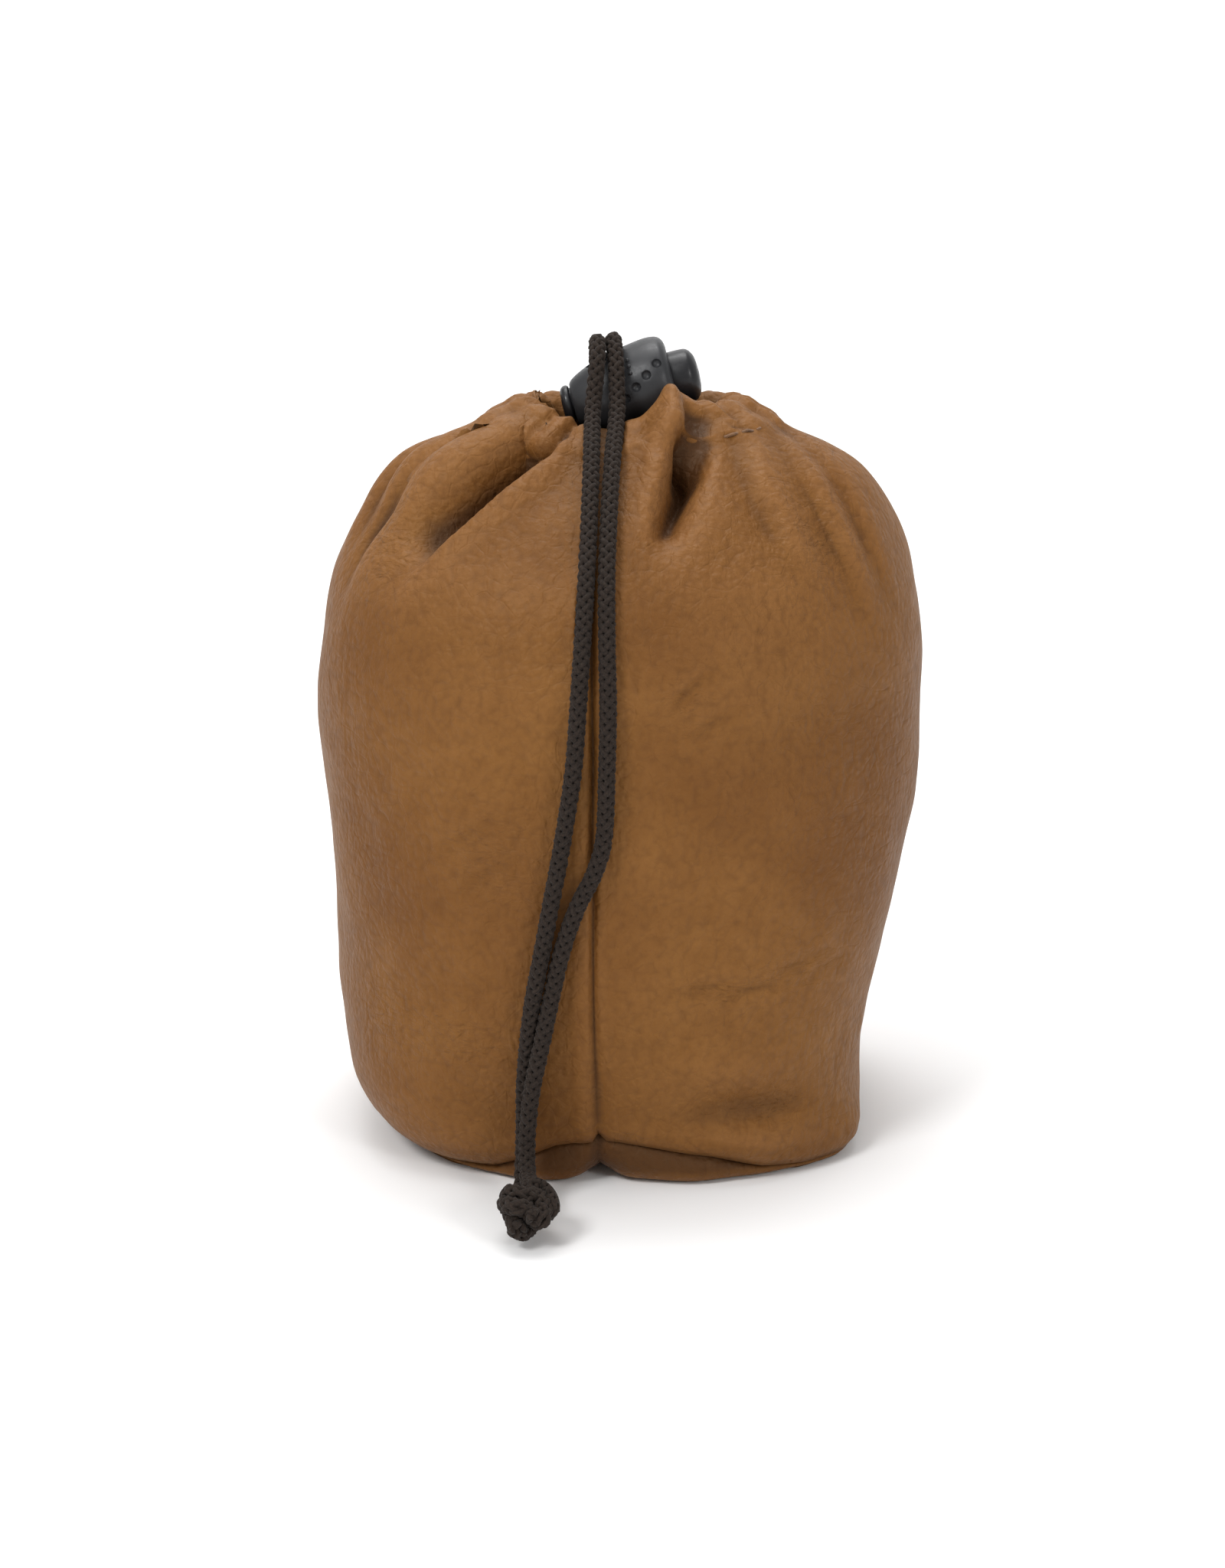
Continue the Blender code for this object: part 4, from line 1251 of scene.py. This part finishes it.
def make_wall():
    rows = ring_rows()
    points, angle = wrapped_grid(rows)
    points = set_down(points, rows)
    points = raise_peak(points, rows)
    crest = int(np.argmax(rows[:, 0]))
    edge = int(np.argmax(rows[:, 0] > 130.8))
    above_edge = np.clip((np.arange(len(rows)) - edge + 7) / 10.0, 0, 1)[:, None]
    outside = np.clip((crest + 2 - np.arange(len(rows))) / 4.0, 0, 1)[:, None]
    most = DEPTH_OVER_CORD + 18 * (1 - above_edge) ** 2
    fold_shade_share = np.zeros(points.shape[:2])
    for _, path, depths, widths, ridge, overhang, crisp in FRONT_FOLDS:
        points, within = press_fold(points, path, depths, widths, ridge, overhang, crisp, outside, most)
        fold_shade_share = np.maximum(fold_shade_share, within)
    points = press_gathers(points, angle, rows, outside)
    points = crimp_casing(points, angle, rows)
    normal = grid_normals(points)
    swell = 0.9 * ripple(points, 34, 1) + 0.45 * ripple(points, 15, 2) + 0.16 * ripple(points, 6.5, 3)
    calm = np.clip((128 - points[:, :, 2]) / 12, 0.15, 1)
    points = points + normal * (swell * calm)[:, :, None]
    for centre, reach, depth in DENTS:
        points = press_dent(points, centre, reach, depth)
    points = wrinkle(points)
    points = sew_upright_seam(points, rows)
    points = keep_off(points, loop_path, CORD_R + 0.15)
    for _, path, _ in tails.values():
        points = keep_off(points, np.array(path) / MM, CORD_R + 0.28)
    points = keep_off_lock(points)
    # Deep inside the big folds the hollow value is raised further, so the leather is painted near-black
    # there as shade.
    hollow_shade_and_rub = np.clip(hollowness(points) + 0.55 * np.clip(1.6 * fold_shade_share - 0.35, 0, 1), 0, 1)
    wall = grid_mesh("gathered_wall", points, hollow_shade_and_rub)
    thicken(wall)
    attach(wall, "bag")
    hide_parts("body_panel", "cord_casing")
    print("wall grid", points.shape[:2], "triangles about", len(wall.data.polygons) * 2)
    return points


wall_points = make_wall()

# %% [markdown]
# The base is a separate panel, turned up to meet the wall. At the front it bulges below the seam in two
# soft lobes, with a notch where the upright seam's thick end pulls it up.

# %% Base panel
BASE_SECTION = (                   # share of the seam's height, and mm in from the wall's foot
    (0.02, 24), (0.02, 11), (0.02, 5.6), (0.10, 3.0), (0.28, 1.4), (0.52, 0.5), (0.78, 0.3), (0.97, 0.8),
    (1.06, 1.9),
)
TABLE_GAP = 0.03                   # mm that the base's lowest points stay above the floor


def make_base():
    columns = wall_points.shape[1]
    edge = wall_points[0]
    middle = np.array([-1.0, 0.0])
    reach = edge[:, :2] - middle
    size = np.linalg.norm(reach, axis=1)
    way = reach / size[:, None]
    notch = np.exp(-((edge[:, 0] + 3.7) / 3.4) ** 2) * (edge[:, 1] < 0)
    lobes = np.exp(-((edge[:, 0] + 14) / 9.5) ** 2) + np.exp(-((edge[:, 0] - 13) / 12) ** 2)
    lobes *= edge[:, 1] < 0
    rings = []
    for share, inward in BASE_SECTION:
        height = edge[:, 2] * share + 2.3 * notch * (1 - share) * (inward < 10)
        out = size - inward + 2.2 * lobes * (1 - share) - 1.2 * notch * (1 - share)
        ring = middle + way * out[:, None]
        rings.append(np.column_stack([ring, height]))
    for scale in (0.66, 0.33):
        ring = middle + (rings[0][:, :2] - middle) * scale
        rings.insert(0, np.column_stack([ring, np.full(columns, 0.15)]))
    points = np.array(rings)
    points[:, :, 2] = np.maximum(points[:, :, 2], 0.05)
    step = smooth_grid_rows(points, 26)
    step = step + grid_normals(step) * (0.18 * ripple(step, 9, 5))[:, :, None]
    step[:, :, 2] = np.maximum(step[:, :, 2], TABLE_GAP)
    # The front of the base, below the seam, is painted darker as shade where it curves under.
    painted_underside_shade = 0.56 * (step[:, :, 1] < 0) * np.clip(step[:, :, 2] / 3.0, 0.3, 1)
    hollow_shade_and_rub = np.clip(hollowness(step) + painted_underside_shade, 0, 1)
    base = grid_mesh("base_of_bag", step, hollow_shade_and_rub, close_foot=True)
    thicken(base)
    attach(base, "bag")
    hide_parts("base_panel")
    print("base triangles about", len(base.data.polygons) * 2)


def smooth_grid_rows(points, count):
    """The same rings with smooth ones between them, count in all."""
    padded = np.concatenate([2 * points[:1] - points[1:2], points, 2 * points[-1:] - points[-2:-1]])
    at = np.linspace(0, len(points) - 1, count)
    rings = []
    for value in at:
        k = min(int(value), len(points) - 2)
        t = value - k
        a, b, c, d = padded[k], padded[k + 1], padded[k + 2], padded[k + 3]
        rings.append(0.5 * (2 * b + (c - a) * t + (2 * a - 5 * b + 4 * c - d) * t ** 2
                            + (3 * b - a - 3 * c + d) * t ** 3))
    return np.array(rings)


make_base()

# %% [markdown]
# ## Stitches
# Waxed thread holds the folded edge and both seams. Each stitch is a short raised length of thread whose
# ends sink into the leather, so the rows keep a rhythm of thread and gap.

# %% Rows of stitches
STITCH, STITCH_GAP, THREAD_R = 2.7, 0.9, 0.28


def stitch_row(name, line, outward, lift, node_name):
    """Stitches along a line of points in mm; outward gives the skin's direction at each point."""
    run = np.concatenate([[0], np.cumsum(np.linalg.norm(np.diff(line, axis=0), axis=1))])
    count = int(run[-1] / (STITCH + STITCH_GAP))
    stitches = []
    for k in range(count):
        at = k * (STITCH + STITCH_GAP) + np.linspace(0, STITCH, 7)
        place = np.stack([np.interp(at, run, line[:, j]) for j in range(3)], axis=1)
        up = np.stack([np.interp(at, run, outward[:, j]) for j in range(3)], axis=1)
        bow = np.array([-0.55, 0.0, 0.75, 1.0, 0.75, 0.0, -0.55])[:, None] * lift
        stitches.append(place + up * bow)
    piece = curve_mesh(name, stitches, THREAD_R, THREAD, sides=2)
    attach(piece, "bag")
    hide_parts(node_name)
    print(name, "stitches:", count)


def make_stitches():
    normal = grid_normals(wall_points)
    rows = ring_rows()
    edge = int(np.argmax(rows[:, 0] > 131.0)) - 1
    ring = wall_points[edge]
    front = ring[:, 1] < np.where(ring[:, 0] < 0, 12, 4)
    shown = (ring[:, 0] > 18.5) & (ring[:, 0] < 25)
    columns = np.flatnonzero(~front | shown)
    stitch_row("casing_stitches", ring[columns], normal[edge, columns], 0.26, "casing_thread")
    upright = np.arange(4, edge - 2)
    inside = wall_points[upright, 0] - normal[upright, 0] * (LEATHER_THICKNESS + 0.2)
    stitch_row("upright_stitches", inside, -normal[upright, 0], 0.4, "body_seam_thread")
    foot = wall_points[2] - normal[2] * (LEATHER_THICKNESS + 0.2)
    stitch_row("base_stitches", foot, -normal[2], 0.4, "base_seam_thread")


make_stitches()
